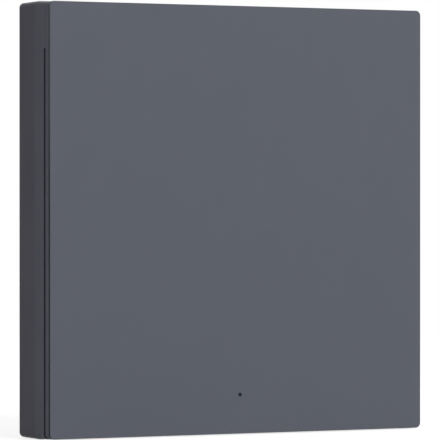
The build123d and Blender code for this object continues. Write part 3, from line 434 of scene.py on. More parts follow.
def sharp_edges(mesh, wanted=lambda edge: True, least=40):
    """The wanted edges between two faces that meet at an angle."""
    return [
        edge for edge in mesh.edges
        if len(edge.link_faces) == 2 and edge.calc_face_angle(0) > math.radians(least)
        and wanted(edge)
    ]


def runs_at(edge, **levels):
    """Whether both ends of an edge lie at some levels, such as y=3."""
    return all(
        abs(vert.co["xyz".index(axis)] - level) < tight
        for vert in edge.verts for axis, level in levels.items()
    )


def block(mesh, corner, other, edge=0.0, segments=2):
    """A block between two opposite corners, with its edges eased."""
    corner, other = Vector(corner), Vector(other)
    size = Vector([abs(side) for side in other - corner])
    place = Matrix.LocRotScale((corner + other) / 2, None, size)
    made = bmesh.ops.create_cube(mesh, size=1, matrix=place)
    if edge:
        ease(mesh, {side for vert in made["verts"] for side in vert.link_edges}, edge, segments)


def upright(x, z):
    """The place of a turned shape whose axis runs along Y."""
    return Matrix.Translation((x, 0, z))


def swept(mesh, parts, centre, axis, angle, steps, rise=0.0, is_closed=False):
    """Sweeps parts round an axis, with a rise at each step, and gives the last ones made."""
    return bmesh.ops.spin(
        mesh, geom=parts, cent=centre, axis=axis, dvec=Vector(axis) * rise, angle=angle,
        steps=steps, use_merge=is_closed, use_duplicate=False,
    )["geom_last"]


def turned(mesh, profile, place, segments=48):
    """Turns a profile of (radius, height) points round the Y axis of a place."""
    standing = set(mesh.verts)
    points = [mesh.verts.new(place @ Vector((radius, height, 0))) for radius, height in profile]
    edges = [mesh.edges.new(pair) for pair in zip(points, points[1:])]
    axis = place.to_3x3() @ Vector((0, 1, 0))
    swept(mesh, points + edges, place.translation, axis, math.tau, segments, is_closed=True)
    made = [vert for vert in mesh.verts if vert not in standing]
    bmesh.ops.remove_doubles(mesh, verts=made, dist=0.001)


def outline(radius, level, steps):
    """Points of a profile, given by their distances from a radius and from a level."""
    return [(radius + out, level + up) for out, up in steps]


def rim(radius, level, way):
    """A rounded rim in a profile, from its flat end to its wall."""
    return outline(radius, level, [(-0.25, 0), (-0.07, way * 0.07), (0, way * 0.25)])


def sink(mesh, faces, depth, taper):
    """Pushes faces in along Y and draws their floor together a little."""
    middle = sum((face.calc_center_median() for face in faces), Vector()) / len(faces)
    made = bmesh.ops.extrude_face_region(mesh, geom=faces)["geom"]
    floor = only(made, BMVert)
    stale = [face for face in faces if face.is_valid]
    bmesh.ops.delete(mesh, geom=stale, context="FACES_ONLY")
    bmesh.ops.translate(mesh, verts=floor, vec=(0, depth, 0))
    bmesh.ops.scale(mesh, vec=(taper, 1, taper), space=Matrix.Translation(-middle), verts=floor)
    bare = [edge for edge in mesh.edges if edge.is_wire]
    bmesh.ops.delete(mesh, geom=bare, context="EDGES")


def recess(mesh, middle, arm_x, arm_z, depth, taper):
    """Closes the end of a turned head and sinks a driver recess into it.

    An arm is (half length, half width), and no head is as wide as the widest."""
    widest = 6
    ring = [
        edge for edge in mesh.edges
        if edge.is_boundary and runs_at(edge, y=middle.y)
        and all((vert.co - middle).length < widest for vert in edge.verts)
    ]
    faces = bmesh.ops.contextual_create(mesh, geom=ring)["faces"]
    (reach_x, width_z), (reach_z, width_x) = arm_x, arm_z
    along_x, along_z = (1, 0, 0), (0, 0, 1)
    for offset, normal in (
        (reach_x, along_x), (width_x, along_x), (reach_z, along_z), (width_z, along_z),
    ):
        for side in (-1, 1):
            point = middle + Vector(normal) * side * offset
            faces = only(cut_across(mesh, point, normal, faces)["geom"], BMFace)
    inside = []
    for face in faces:
        place = face.calc_center_median() - middle
        across, up = abs(place.x), abs(place.z)
        if (across < reach_x and up < width_z) or (across < width_x and up < reach_z):
            inside.append(face)
    sink(mesh, inside, depth, taper)


def thread(mesh, x, z, root, crest, start, end, pitch):
    """A right-handed screw thread along Y."""
    turns, steps = (end - start) / pitch - 1, 20
    flank = ((root, 0.0), (crest, 0.42), (crest, 0.5), (root, 0.92))
    face = mesh.faces.new(
        [mesh.verts.new((x + radius, start + share * pitch, z)) for radius, share in flank]
    )
    swept(
        mesh, with_rims([face]), (x, 0, z), (0, 1, 0), math.tau * turns, round(turns * steps),
        pitch / steps,
    )


def disc(mesh, radius, sides, place):
    """A round face, from which a wire is drawn out."""
    ring = bmesh.ops.create_circle(
        mesh, cap_ends=True, radius=radius, segments=sides, matrix=place
    )["verts"]
    return list({face for vert in ring for face in vert.link_faces})


def wire(mesh, points, radius):
    """Round wire from point to point, bent at each corner."""
    bend, sides = 0.5, 10
    points = [Vector(point) for point in points]
    way = (points[1] - points[0]).normalized()
    start = Matrix.Translation(points[0]) @ way.to_track_quat("Z", "Y").to_matrix().to_4x4()
    end = disc(mesh, radius, sides, start)
    reached = points[0]
    for number, target in enumerate(points[1:], 1):
        is_last = number == len(points) - 1
        leg = (target - reached).length - (0 if is_last else bend)
        made = bmesh.ops.extrude_face_region(mesh, geom=end)["geom"]
        stale = [face for face in end if face.is_valid and number > 1]
        bmesh.ops.delete(mesh, geom=stale, context="FACES_ONLY")
        bmesh.ops.translate(mesh, verts=only(made, BMVert), vec=way * leg)
        end = only(made, BMFace)
        if is_last:
            break
        onward = (points[number + 1] - target).normalized()
        spun = swept(
            mesh, with_rims(end), target + (onward - way) * bend, way.cross(onward),
            way.angle(onward), 5,
        )
        end = only(spun, BMFace)
        reached = target + onward * bend
        way = onward


def grooved(mesh, levels, half_width, depth, is_outside):
    """Draws an outer wall in along some heights, and so leaves a groove at each."""
    for level in levels:
        for offset in (-half_width, half_width, 0):
            cut = cut_across(mesh, (0, level + offset, 0), (0, 1, 0))["geom_cut"]
        for vert in only(cut, BMVert):
            if is_outside(vert.co):
                walls = [face.normal for face in vert.link_faces if abs(face.normal.y) < 0.7]
                vert.co -= sum(walls, Vector()).normalized() * depth


def lying(mesh, x, z, span, half_width, face, height, is_turned=False, edge=0.0):
    """A block on a board's face. Its span runs along X, or along Z when it is turned."""
    (start, left), (end, right) = (span[0], -half_width), (span[1], half_width)
    if is_turned:
        start, left, end, right = left, start, right, end
    block(mesh, (x + start, face, z + left), (x + end, face + height, z + right), edge, 1)


def chip(board, x, z, size, legs=4, pitch=1.27, is_square=False):
    """A packaged circuit on a board's face: its body and its bent legs.

    A board is its plastic and metal meshes, its face's level, and -1 when it faces the room or 1
    when it faces the box. The size is (width, height, depth)."""
    plastic, metal, face, way = board
    width, height, depth = size
    lifted, half_leg, toe_height = 0.1, pitch * 0.16, 0.16
    block(
        plastic, (x - width / 2, face + way * lifted, z - height / 2),
        (x + width / 2, face + way * (lifted + depth), z + height / 2), 0.15, 1,
    )
    sides = [(width, False), (height, True)] if is_square else [(width, False)]
    for across, is_turned in sides:
        for number in range(legs):
            along = (number - (legs - 1) / 2) * pitch
            leg_x, leg_z = (x + along, z) if is_turned else (x, z + along)
            for side in (-1, 1):
                root, bend, toe = (side * (across / 2 + out) for out in (-0.05, 0.35, 0.75))
                for span, rise in (((root, bend), depth * 0.55), ((bend, toe), toe_height)):
                    lying(metal, leg_x, leg_z, span, half_leg, face, way * rise, is_turned)


# Chip resistors' lengths, widths and depths
small, large = (1.6, 0.8, 0.45), (2.0, 1.25, 0.6)


def chip_resistor(board, x, z, is_turned=False, size=small):
    """A chip resistor or capacitor between its two tinned ends."""
    plastic, metal, face, way = board
    length, width, depth = size
    proud, side = 0.03, width / 2
    lying(plastic, x, z, (-length / 2, length / 2), side, face, way * depth, is_turned, 0.05)
    for end in (-1, 1):
        span = (end * length * 0.3, end * (length / 2 + proud))
        lying(metal, x, z, span, side + 0.02, face, way * (depth + proud), is_turned, 0.05)


def solder_joint(metal, x, z, face, way, height=0.8):
    """A cone of solder round the end of a lead."""
    cone = ((0.42, 0.5), (0.32, 0.8), (0.3, 1.0), (0, 1.05))
    turned(
        metal, [(0, face), (0.85, face), (0.6, face + way * 0.12)]
        + [(radius, face + way * height * share) for radius, share in cone], upright(x, z), 14,
    )


def placed(name, data):
    """Puts a mesh, a lamp or a camera into the scene."""
    item = bpy.data.objects.new(name, data)
    scene.collection.objects.link(item)
    return item


def covered(name, mesh, material):
    """Puts a mesh into the scene with a material on it."""
    data = bpy.data.meshes.new(name)
    mesh.to_mesh(data)
    mesh.free()
    data.materials.append(material)
    return placed(name, data)


def settle(name, mesh, slot="tin_shield", body="root", replaces=(), smooth=32):
    """Turns a finished mesh into a piece of the object that moves with a body."""
    many_sided = [face for face in mesh.faces if len(face.verts) > 4]
    bmesh.ops.triangulate(mesh, faces=many_sided, quad_method="BEAUTY", ngon_method="BEAUTY")
    bmesh.ops.recalc_face_normals(mesh, faces=mesh.faces)
    bmesh.ops.scale(mesh, vec=(mm,) * 3, verts=mesh.verts)
    mesh.normal_update()
    for face in mesh.faces:
        face.smooth = True
    for edge in mesh.edges:
        edge.smooth = edge.calc_face_angle(0) < math.radians(smooth)
    piece = covered(name, mesh, finishes[slot])
    piece.modifiers.new("weighted", "WEIGHTED_NORMAL").keep_sharp = True
    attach(piece, body)
    if replaces:
        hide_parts(*replaces)
    return piece


def dress(node, mesh, smooth=32):
    """Shows a finished mesh in place of a CAD node."""
    dressed.add(node)
    return settle(
        node + "_finished", mesh, slot_of_node(node), body_of_node(node), (node,), smooth
    )


def dress_turned(node, profile, segments=64):
    """Shows a profile, turned round a CAD node's own axis, in place of the node."""
    low, high = box_of(node)[:2]
    radius = (high.x - low.x) / 2
    mesh = bmesh.new()
    turned(mesh, profile, upright(low.x + radius, low.z + radius), segments)
    dress(node, mesh)


dressed = set()

# Rocker and ring


def make_rocker_cap():
    """The rocker. Its shadow line is faint near the hinge and deep at the pressed end."""
    low, high = box_of("rocker_cap")[:2]
    mesh = simplified("rocker_cap")
    line_front, line_back = low.y + 0.05, low.y + 0.55
    corner_depth, deepest = 0.5, 0.65
    depths = {30: 0.05, 15: 0.09, 0: 0.22, -15: 0.42}
    for level in depths:
        cut_across(mesh, (0, 0, level), (0, 0, 1))
    for vert in mesh.verts:
        sunk_x, sunk_z = high.x - abs(vert.co.x), vert.co.z - low.z
        is_floor = 2 * tight < sunk_x < corner_depth + tight
        if not is_floor or not line_front < vert.co.y < line_back:
            continue
        for level, depth in depths.items():
            if abs(vert.co.z - level) < tight:
                vert.co.x = math.copysign(high.x - depth, vert.co.x)
        if abs(sunk_x - corner_depth) < tight and abs(sunk_z - corner_depth) < tight:
            vert.co.x = math.copysign(high.x - deepest, vert.co.x)
            vert.co.z = low.z + deepest
    dress("rocker_cap", mesh)


def make_rocker_frame():
    """The ring. Above the slit its front comes close to the rocker, and level with its sides."""
    low = box_of("rocker_frame")[0]
    rocker_reach = box_of("rocker_cap")[1].x
    closer = 0.05
    mesh = copied("rocker_frame")
    front = [vert for vert in mesh.verts if vert.co.y < low.y + tight]
    reach = max(abs(vert.co.x) for vert in front)
    for vert in front:
        vert.co.y -= closer
        if max(abs(vert.co.x), abs(vert.co.z)) > reach - 1:
            vert.co.x *= rocker_reach / reach
            vert.co.z *= rocker_reach / reach
    dress("rocker_frame", mesh)


# Screws


def make_cover_screws():
    """The four pan-head screws: a domed head with a cross, and a thread down to the strap."""
    low, high = box_of("cover_screws")[:2]
    head_radius, head_height, shank, crest = 2.1, 1.4, 0.82, 1.0
    arm, arm_depth, pitch = (1.0, 0.2), 0.8, 0.45
    seat = low.y + head_height
    mesh = bmesh.new()
    for x in (low.x + head_radius, high.x - head_radius):
        for z in (low.z + head_radius, high.z - head_radius):
            turned(mesh, [
                (0, high.y), (shank - 0.3, high.y), (shank, high.y - 0.3), (shank, seat + 0.6),
                (crest, seat + 0.4), (crest, seat), *outline(head_radius, seat, [
                    (-0.1, 0), (0, -0.12), (0, -0.55), (-0.15, -0.85), (-0.5, -1.15),
                ]), (head_radius - 0.95, low.y),
            ], upright(x, z))
            recess(mesh, Vector((x, low.y, z)), arm, arm, arm_depth, 0.7)
            thread(mesh, x, z, shank - 0.05, crest, seat + 0.7, high.y - 0.35, pitch)
    dress("cover_screws", mesh)


def make_terminal_screw(node):
    """A terminal screw: a bevelled head with a slot and a cross, and a thread in the cage."""
    low, high, middle, half = box_of(node)
    x, z, head_radius = middle.x, middle.z, half.x
    root, crest, head_height, pitch = 1.2, 1.45, 2.1, 0.5
    slot, cross, slot_depth = (head_radius - 0.6, 0.4), (1.15, 0.28), 1.0
    seat = high.y - head_height
    mesh = bmesh.new()
    turned(mesh, [
        (0, low.y), (root - 0.35, low.y), (root, low.y + 0.35), (root, seat - 0.5),
        (crest, seat - 0.3), (crest, seat), *outline(head_radius, seat, [(-0.15, 0), (0, 0.15)]),
        *outline(head_radius, high.y, [(0, -0.35), (-0.12, -0.12), (-0.4, 0), (-0.45, 0)]),
    ], upright(x, z))
    recess(mesh, Vector((x, high.y, z)), slot, cross, -slot_depth, 0.85)
    thread(mesh, x, z, root - 0.05, crest, low.y + 0.35, seat - 0.45, pitch)
    dress(node, mesh)


# Return springs


def make_return_spring(node):
    """A coil with closed ends, on a mesh of its own."""
    low, high, middle, half = box_of(node)
    wire_radius, steps, travel = 0.22, 36, 0.43
    x, z, radius = middle.x, middle.z, half.x - wire_radius
    closing_turns, working_turns = 0.75, 3.0
    closing_rise = 2 * wire_radius * 1.02
    span = high.y - low.y - 2 * wire_radius
    closing = (closing_turns, closing_rise)
    working = (working_turns, (span - 2 * closing_turns * closing_rise) / working_turns)
    mesh = bmesh.new()
    start = Matrix.Translation((x + radius, low.y + wire_radius, z))
    end = with_rims(disc(mesh, wire_radius, 12, start))
    for turns, rise in (closing, working, closing):
        end = swept(
            mesh, end, (x, 0, z), (0, 1, 0), math.tau * turns, round(turns * steps), rise / steps
        )
    piece = dress(node, mesh)
    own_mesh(piece)


# Back box


def make_rear_housing():
    """The back box, eased at its back edges, and flared where the wires go in."""
    high = box_of("rear_housing")[1]
    mesh = simplified("rear_housing")
    underside = min(vert.co.z for vert in mesh.verts if vert.co.y > high.y / 2)

    def round_a_wire(edge):
        place = (edge.verts[0].co + edge.verts[1].co) / 2
        return 12 < place.y < 22 and abs(place.x) < 12 and runs_at(edge, z=underside)

    ease(mesh, sharp_edges(mesh, lambda edge: runs_at(edge, y=high.y), 30), 0.3)
    ease(mesh, sharp_edges(mesh, round_a_wire, 30), 0.5, 3)
    dress("rear_housing", mesh)


# Components on the power board


def make_bulk_capacitors():
    """Two electrolytic cans: a crimped sleeve round a scored aluminium top."""
    low, high, middle, half = box_of("bulk_capacitors")
    radius, foot, top = half.z, low.y, high.y
    score, score_depth = (2.3, 0.09), 0.1
    sleeves, tops = bmesh.new(), bmesh.new()
    for x in (low.x + radius, high.x - radius):
        turned(sleeves, [
            (0, foot), *outline(radius, foot, [
                (-0.5, 0), (-0.1, 0.2), (0, 0.5), (0, 1.3), (-0.3, 1.6), (-0.3, 1.9), (0, 2.2),
            ]), *outline(radius, top, [
                (0, -0.5), (-0.12, -0.15), (-0.4, 0), (-0.75, -0.02), (-0.8, -0.2),
            ]), (0, top - 0.2),
        ], upright(x, middle.z))
        turned(tops, [
            (0, top - 0.5), (radius - 0.85, top - 0.5), (radius - 0.85, top - 0.12),
            (radius - 1.1, top - 0.06),
        ], upright(x, middle.z))
        recess(tops, Vector((x, top - 0.06, middle.z)), score, score, -score_depth, 1.0)
    dress("bulk_capacitors", sleeves)
    settle("bulk_capacitor_tops", tops)


def make_varistor():
    """A dipped disc with two wire legs."""
    low, high, middle, half = box_of("varistor")
    radius, thick = half.x, half.z
    x, y, z = middle.x, high.y - radius, middle.z
    across = Matrix.Translation((x, y, z)) @ Matrix.Rotation(math.radians(90), 4, "X")
    coat, legs = bmesh.new(), bmesh.new()
    side = [(0, 0.82), (0.5, 0.86), (0.8, 1), (0.93, 0.72), (1, 0.2)]
    turned(
        coat, [(radius * out, -thick * up) for out, up in side]
        + [(radius * out, thick * up) for out, up in reversed(side)], across,
    )
    for foot in (x - radius / 2, x + radius / 2):
        turned(coat, [
            (0, y - radius * 0.6), (0.75, y - radius * 0.6), (0.6, y - radius * 0.95),
            (0.42, low.y + 0.7), (0.3, low.y + 0.6), (0, low.y + 0.6),
        ], upright(foot, z), 16)
        wire(legs, [(foot, low.y + 1.2, z), (foot, low.y, z)], 0.3)
    dress("varistor", coat, 45)
    settle("varistor_legs", legs)


def make_fuse_resistor():
    """A lacquered dog-bone body on bent wire legs."""
    low, high, middle, half = box_of("fuse_resistor")
    radius, y, z = half.z, high.y - half.z, middle.z
    start, end, wire_radius = low.x + 1.1, high.x - 1.1, 0.3
    along = Matrix.Translation((0, y, z)) @ Matrix.Rotation(math.radians(-90), 4, "Z")
    coat, legs = bmesh.new(), bmesh.new()
    side = [(0, 0), (0.6, 0), (0.92, 0.3), (1, 0.8), (0.97, 1.5), (0.82, 2.1)]
    turned(
        coat, [(radius * out, start + along_it) for out, along_it in side]
        + [(radius * out, end - along_it) for out, along_it in reversed(side)], along,
    )
    for foot, inner in ((low.x + wire_radius, start + 0.2), (high.x - wire_radius, end - 0.2)):
        wire(legs, [(inner, y, z), (foot, y, z), (foot, low.y, z)], wire_radius)
    dress("fuse_resistor", coat, 45)
    settle("fuse_resistor_legs", legs)


def make_case(node, edge, foot):
    """A moulded case with eased edges over a slightly wider foot."""
    low, high = box_of(node)[:2]
    step = Vector((0.15, 0, 0.15))
    mesh = bmesh.new()
    block(mesh, low, (high.x, low.y + foot, high.z), 0.15)
    block(mesh, low + step + Vector((0, foot - 0.2, 0)), high - step, edge, 4)
    dress(node, mesh)


def make_winding(node, is_outside):
    """A winding, cut into its turns."""
    low, high, middle, half = box_of(node)
    wire_width, groove = 0.42, 0.12
    turns = round((high.y - low.y) / wire_width)
    width = (high.y - low.y) / turns
    levels = [low.y + width * step for step in range(1, turns)]
    mesh = simplified(node)
    grooved(mesh, levels, width / 2, groove, lambda place: is_outside(place - middle, half))
    dress(node, mesh)


def make_windings():
    """The transformer's square winding and the choke's round one."""
    make_winding(
        "transformer_winding",
        lambda place, half: abs(place.x) > half.x - 1.2 or abs(place.z) > half.z - 1.2,
    )
    make_winding(
        "choke_winding", lambda place, half: math.hypot(place.x, place.z) > half.x - 0.3
    )


def make_transformer_core():
    """Two ferrite halves that meet in a seam, with their edges ground off."""
    middle, half = box_of("transformer_core")[2:]
    mesh = simplified("transformer_core")
    ease(mesh, sharp_edges(mesh), 0.15)

    def is_outside(place):
        return min(half.x - abs(place.x - middle.x), half.z - abs(place.z - middle.z)) < tight

    grooved(mesh, [middle.y], 0.1, 0.08, is_outside)
    dress("transformer_core", mesh)


def make_choke_core():
    """A ferrite drum with rounded rims."""
    low, high, _, half = box_of("choke_core")
    radius, waist, flange = half.x, 1.8, 1.2
    dress_turned("choke_core", [
        (0, low.y), *rim(radius, low.y, 1), *reversed(rim(radius, low.y + flange, -1)),
        (waist, low.y + flange), (waist, high.y - flange), *rim(radius, high.y - flange, 1),
        *reversed(rim(radius, high.y, -1)), (1.0, high.y), (0.8, high.y - 0.3), (0, high.y - 0.3),
    ])


def make_bridge_rectifier():
    """A small moulded bridge on four bent legs."""
    low, high, middle = box_of("bridge_rectifier")[:3]
    body, legs = bmesh.new(), bmesh.new()
    half_leg = 0.3
    block(body, (low.x, low.y + 0.1, low.z), high, 0.25, 3)
    for z in (middle.z - 1.2, middle.z + 1.2):
        for side, wall in ((-1, low.x), (1, high.x)):
            for out, rise in ((0.35, 1.0), (0.6, 0.2)):
                outer = (wall + side * out, low.y + rise, z + half_leg)
                block(legs, (wall, low.y, z - half_leg), outer, 0.05, 1)
    dress("bridge_rectifier", body)
    settle("bridge_legs", legs)


# Pin header


def header_places():
    """The pitch of the header, and where each of its six pins stands."""
    low, high, middle = box_of("header_pins")[:3]
    pitch = (high.x - low.x) / 6
    return pitch, [(low.x + (number + 0.5) * pitch, middle.z) for number in range(6)]


def make_header():
    """The header strip, notched between its places, with square tapered pins."""
    low, high = box_of("header_pins")[:2]
    base_front, half_pin, taper = high.y - 1.6, 0.32, 0.5
    corner = half_pin * math.sqrt(2)
    pitch, places = header_places()
    reach = pitch / 2 - 0.01
    strip, pins = bmesh.new(), bmesh.new()
    for x, z in places:
        block(strip, (x - reach, base_front, low.z), (x + reach, high.y, high.z), 0.3)
        turned(pins, [
            (0, low.y), (corner * 0.45, low.y), (corner, low.y + taper), (corner, high.y - 0.1),
            (0, high.y - 0.1),
        ], upright(x, z) @ Matrix.Rotation(math.radians(45), 4, "Y"), 4)
    dress("header_pins", strip)
    settle("header_pin_blades", pins, "terminal_brass")


# Push switch, plunger, lamp and light pipe


def make_tact_switch():
    """The push switch: its base, a riveted plate round the stem, and four legs."""
    low, high, middle, half = box_of("tact_switch_body")
    front, reach = low.y, half.x
    plate, hole, rivet, half_leg = 0.25, 1.85, reach - 0.75, 0.35
    base, metal = simplified("tact_switch_body"), bmesh.new()
    ease(base, sharp_edges(base, lambda edge: not runs_at(edge, y=front)), 0.12)
    turned(metal, [
        (hole, front + plate),
        *outline(reach, front, [(-0.15, plate), (-0.15, 0.06), (-0.2, -0.01)]),
        *outline(hole, front, [(0.06, -0.01), (0, 0.05), (0, plate)]),
    ], upright(middle.x, middle.z), 64)
    for across in (-rivet, rivet):
        for up in (-rivet, rivet):
            turned(base, [
                (0, front - 0.12), (0.3, front - 0.1), (0.42, front), (0.45, front + 0.2),
                (0, front + 0.2),
            ], upright(middle.x + across, middle.z + up), 16)
    for side in (-1, 1):
        for z in (middle.z - 2.25, middle.z + 2.25):
            wall = middle.x + side * (reach - 0.1)
            for out, rise, clear in ((0.25, 0.9, 0.02), (1.0, 0.2, 0.01)):
                outer = (middle.x + side * (reach + out), high.y - clear, z + half_leg)
                block(metal, (wall, high.y - rise, z - half_leg), outer, 0.06, 1)
    dress("tact_switch_body", base)
    settle("tact_switch_metal", metal)


def make_stem_and_plunger():
    """The switch's stem and the plunger on it, both turned with eased rims."""
    low, high, _, half = box_of("tact_switch_stem")
    dress_turned(
        "tact_switch_stem",
        [(0, low.y), *rim(half.x, low.y, 1), (half.x, high.y), (0, high.y)], 48,
    )
    low, high, _, half = box_of("key_plunger")
    neck, collar = 2.5, high.y - 0.7
    dress_turned("key_plunger", [
        (0, low.y + 0.25), (0.9, low.y + 0.25), (1.1, low.y),
        *outline(neck, low.y, [(-0.3, 0), (-0.09, 0.09), (0, 0.3)]),
        *outline(neck, collar, [(0, -0.2), (0.2, 0)]),
        *outline(half.x, collar, [(-0.15, 0), (0, 0.15)]),
        *outline(half.x, high.y, [(0, -0.15), (-0.15, 0)]), (0, high.y),
    ])


def make_lamp():
    """The indicator lamp: a white moulding with a raised window and two tinned ends."""
    low, high, middle = box_of("indicator_led")[:3]
    base = high.y - 0.3
    window_x, window_z = 0.5, 0.34
    body, ends = bmesh.new(), bmesh.new()
    block(body, (low.x + 0.1, base, low.z), (high.x - 0.1, high.y, high.z), 0.04, 1)
    block(
        body, (middle.x - window_x, low.y, middle.z - window_z),
        (middle.x + window_x, base + 0.05, middle.z + window_z), 0.12, 3,
    )
    for side in (-1, 1):
        inner = (middle.x + side * 0.6, base - 0.02, low.z)
        block(ends, inner, (middle.x + side * 0.8, high.y, high.z), 0.04, 1)
    dress("indicator_led", body)
    settle("indicator_led_ends", ends)


def make_light_pipe():
    """The light pipe, turned with polished, slightly domed ends."""
    low, high, _, half = box_of("light_pipe")
    radius, flange, flange_front = 1.1, half.x, -7.6
    dome = [(0, 0), (radius * 0.6, 0.04), (radius - 0.12, 0.12), (radius, 0.28)]
    dress_turned("light_pipe", [
        *[(out, low.y + up) for out, up in dome], (radius, flange_front + 0.01),
        *outline(flange, flange_front, [(-0.1, 0.01), (0, 0.1), (0, 0.7), (-0.1, 0.8)]),
        (radius, flange_front + 0.8), *[(out, high.y - up) for out, up in reversed(dome)],
    ])


# Boards with what is soldered to them


def make_radio_module():
    """The radio module: a lid over a soldered fence, edge pads and a folded aerial."""
    low, high = box_of("radio_shield")[:2]
    board_low, board_high = box_of("radio_board")[:2]
    shield, gold = bmesh.new(), bmesh.new()
    fence, feet = high.y - 0.5, 5
    block(shield, low, (high.x, fence, high.z), 0.35, 4)
    block(shield, (low.x + 0.2, fence - 0.3, low.z + 0.2), (high.x - 0.2, high.y, high.z - 0.2))
    for foot_x in (low.x, high.x - 0.3):
        for number in range(feet):
            z = low.z + 1.4 + number * 3.3
            block(shield, (foot_x, fence - 0.2, z - 0.6), (foot_x + 0.3, high.y, z + 0.6), 0.05, 1)
    pads, pad_pitch, half_pad = 11, 1.5, 0.4
    for side, wall in ((-1, board_low.x), (1, board_high.x)):
        for number in range(pads):
            z = board_low.z + 1.5 + number * pad_pitch
            inner = (wall - side * 0.9, board_low.y - 0.03, z - half_pad)
            block(gold, inner, (wall + side * 0.03, board_high.y, z + half_pad))
    track, front, back = 0.25, board_low.y - 0.04, board_low.y
    aerial_low, aerial_high, runs = high.z + 1.2, board_high.z - 0.6, 8
    spacing = (board_high.x - board_low.x - 3.4) / (runs - 1)
    for number in range(runs):
        x = board_low.x + 1.7 + number * spacing
        block(gold, (x - track, front, aerial_low), (x + track, back, aerial_high))
        if number < runs - 1:
            z = aerial_low + track if number % 2 else aerial_high - track
            block(gold, (x, front, z - track), (x + spacing, back, z + track))
    dress("radio_shield", shield)
    settle("radio_board_pads", gold, "terminal_brass")


def fill_control_board():
    """The control board's controller, crystal, regulators, coils and small parts."""
    face = box_of("control_board")[0].y
    plastic, metal, ferrite = bmesh.new(), bmesh.new(), bmesh.new()
    board = (plastic, metal, face, -1)
    chip(board, -15.5, 3.0, (7.0, 7.0, 1.0), 8, 0.8, True)
    chip(board, 15.5, 14.0, (3.9, 4.9, 1.1))
    chip(board, 15.5, 4.5, (3.5, 6.5, 1.5), 3, 2.3)
    chip(board, 15.5, -17.0, (3.9, 4.9, 1.1))
    block(metal, (-17.1, face - 0.8, 11.4), (-13.9, face, 13.9), 0.2)
    for x, z, side in ((15.5, -6.5, 2.5), (-15.5, -16.5, 2.0)):
        block(ferrite, (x - side, face - 1.6, z - side), (x + side, face - 0.1, z + side), 0.4, 3)
        for end in (-1, 1):
            span = (end * (side - 0.4), end * (side + 0.25))
            lying(metal, x, z, span, side * 0.6, face, -0.3, edge=0.05)
    # Rows of five: the first one's x and z, the steps to the next, and whether they stand
    rows = (
        (-21.3, -7.0, 0, 3.0, True), (21.2, -20.0, 0, 3.4, True), (-19.5, -4.6, 2.2, 0, True),
        (10.4, -10.0, 0, 2.3, False), (-20.0, 17.5, 2.4, 0, False), (11.0, 20.5, 2.3, 0, True),
    )
    for number in range(5):
        for x, z, step_x, step_z, is_standing in rows:
            chip_resistor(board, x + step_x * number, z + step_z * number, is_standing)
        chip_resistor(board, -6.0 + 3.0 * number, -12.0, number % 2 == 0)
        chip_resistor(board, -5.2 + 2.6 * number, -17.5, True, large)
    for x, z in header_places()[1]:
        solder_joint(metal, x, z, face, -1)
    settle("control_board_chips", plastic, "black_plastic")
    settle("control_board_metal", metal)
    settle("control_board_coils", ferrite, "ferrite")


def fill_power_board():
    """What the power board carries besides the tall parts, and the joints of their leads."""
    front, back = (corner.y for corner in box_of("power_board")[:2])
    # Each lead's offsets in X and Z from the middle of what it belongs to
    offsets = {
        "relay_base": [(x, z) for x in (-6.5, 6.5) for z in (-3.75, 3.75)],
        "transformer_bobbin": [(x, z) for x in (-3.2, 0, 3.2) for z in (-5.1, 5.1)],
        "film_capacitor": [(-5.0, 0), (5.0, 0)],
        "varistor": [(-2.25, 0), (2.25, 0)],
        "fuse_resistor": [(-4.8, 0), (4.8, 0)],
        "choke_core": [(-2.0, 0), (2.0, 0)],
    }
    leads = []
    for node, places in offsets.items():
        middle = box_of(node)[2]
        leads += [(middle.x + x, middle.z + z) for x, z in places]
    cans_low, cans_high, cans, can = box_of("bulk_capacitors")
    for x in (cans_low.x + can.z, cans_high.x - can.z):
        leads += [(x - 1.75, cans.z), (x + 1.75, cans.z)]
    bars_top = box_of("terminal_busbars")[1].z
    leads += [(x + side, bars_top - 0.4) for x in (-8, 0, 8) for side in (-0.9, 0.9)]
    plastic, metal = bmesh.new(), bmesh.new()
    for x, z in leads:
        solder_joint(metal, x, z, front, -1, 0.9)
    for x, z in header_places()[1][:5]:
        solder_joint(metal, x, z, back, 1)
    board = (plastic, metal, back, 1)
    chip(board, 0.9, -6.5, (2.6, 4.9, 1.2))
    for row in range(4):
        z = -1.6 + 2.6 * row
        chip_resistor(board, -0.6, z, True, large)
        chip_resistor(board, 2.4, z, True)
    settle("power_board_chips", plastic, "black_plastic")
    settle("power_board_metal", metal)


# Terminals


def make_terminal_cage(node):
    """A bent brass cage, its edges eased and its jaw cut with teeth."""
    low, high, middle = box_of(node)[:3]
    teeth, tooth, tooth_pitch, jaw = 5, 0.28, 1.05, low.y + 1.0
    mesh = simplified(node)
    ease(mesh, sharp_edges(mesh), 0.15)
    for step in range(teeth):
        ridge = Matrix.LocRotScale(
            Vector((middle.x, jaw, low.z + 0.9 + step * tooth_pitch)),
            Matrix.Rotation(math.radians(45), 3, "X"),
            Vector((high.x - low.x - 2.4, tooth, tooth)),
        )
        bmesh.ops.create_cube(mesh, size=1, matrix=ridge)
    dress(node, mesh, 30)


def make_busbars():
    """The three brass strips, each bent once on its way from the cage to the board."""
    high = box_of("terminal_busbars")[1]
    thickness = 0.8
    mesh = simplified("terminal_busbars")
    for inwards, bend, segments in ((0, 0.95, 5), (thickness, 0.2, 3)):
        y, z = high.y - inwards, high.z - inwards
        ease(mesh, sharp_edges(mesh, lambda edge: runs_at(edge, y=y, z=z)), bend, segments)
    across = sharp_edges(mesh, lambda edge: abs(edge.verts[0].co.x - edge.verts[1].co.x) > 1)
    ease(mesh, across, 0.08, 1)
    dress("terminal_busbars", mesh)


def make_stamped(node, size):
    """A stamped or moulded piece with its edges eased."""
    mesh = simplified(node)
    ease(mesh, sharp_edges(mesh), size)
    dress(node, mesh)


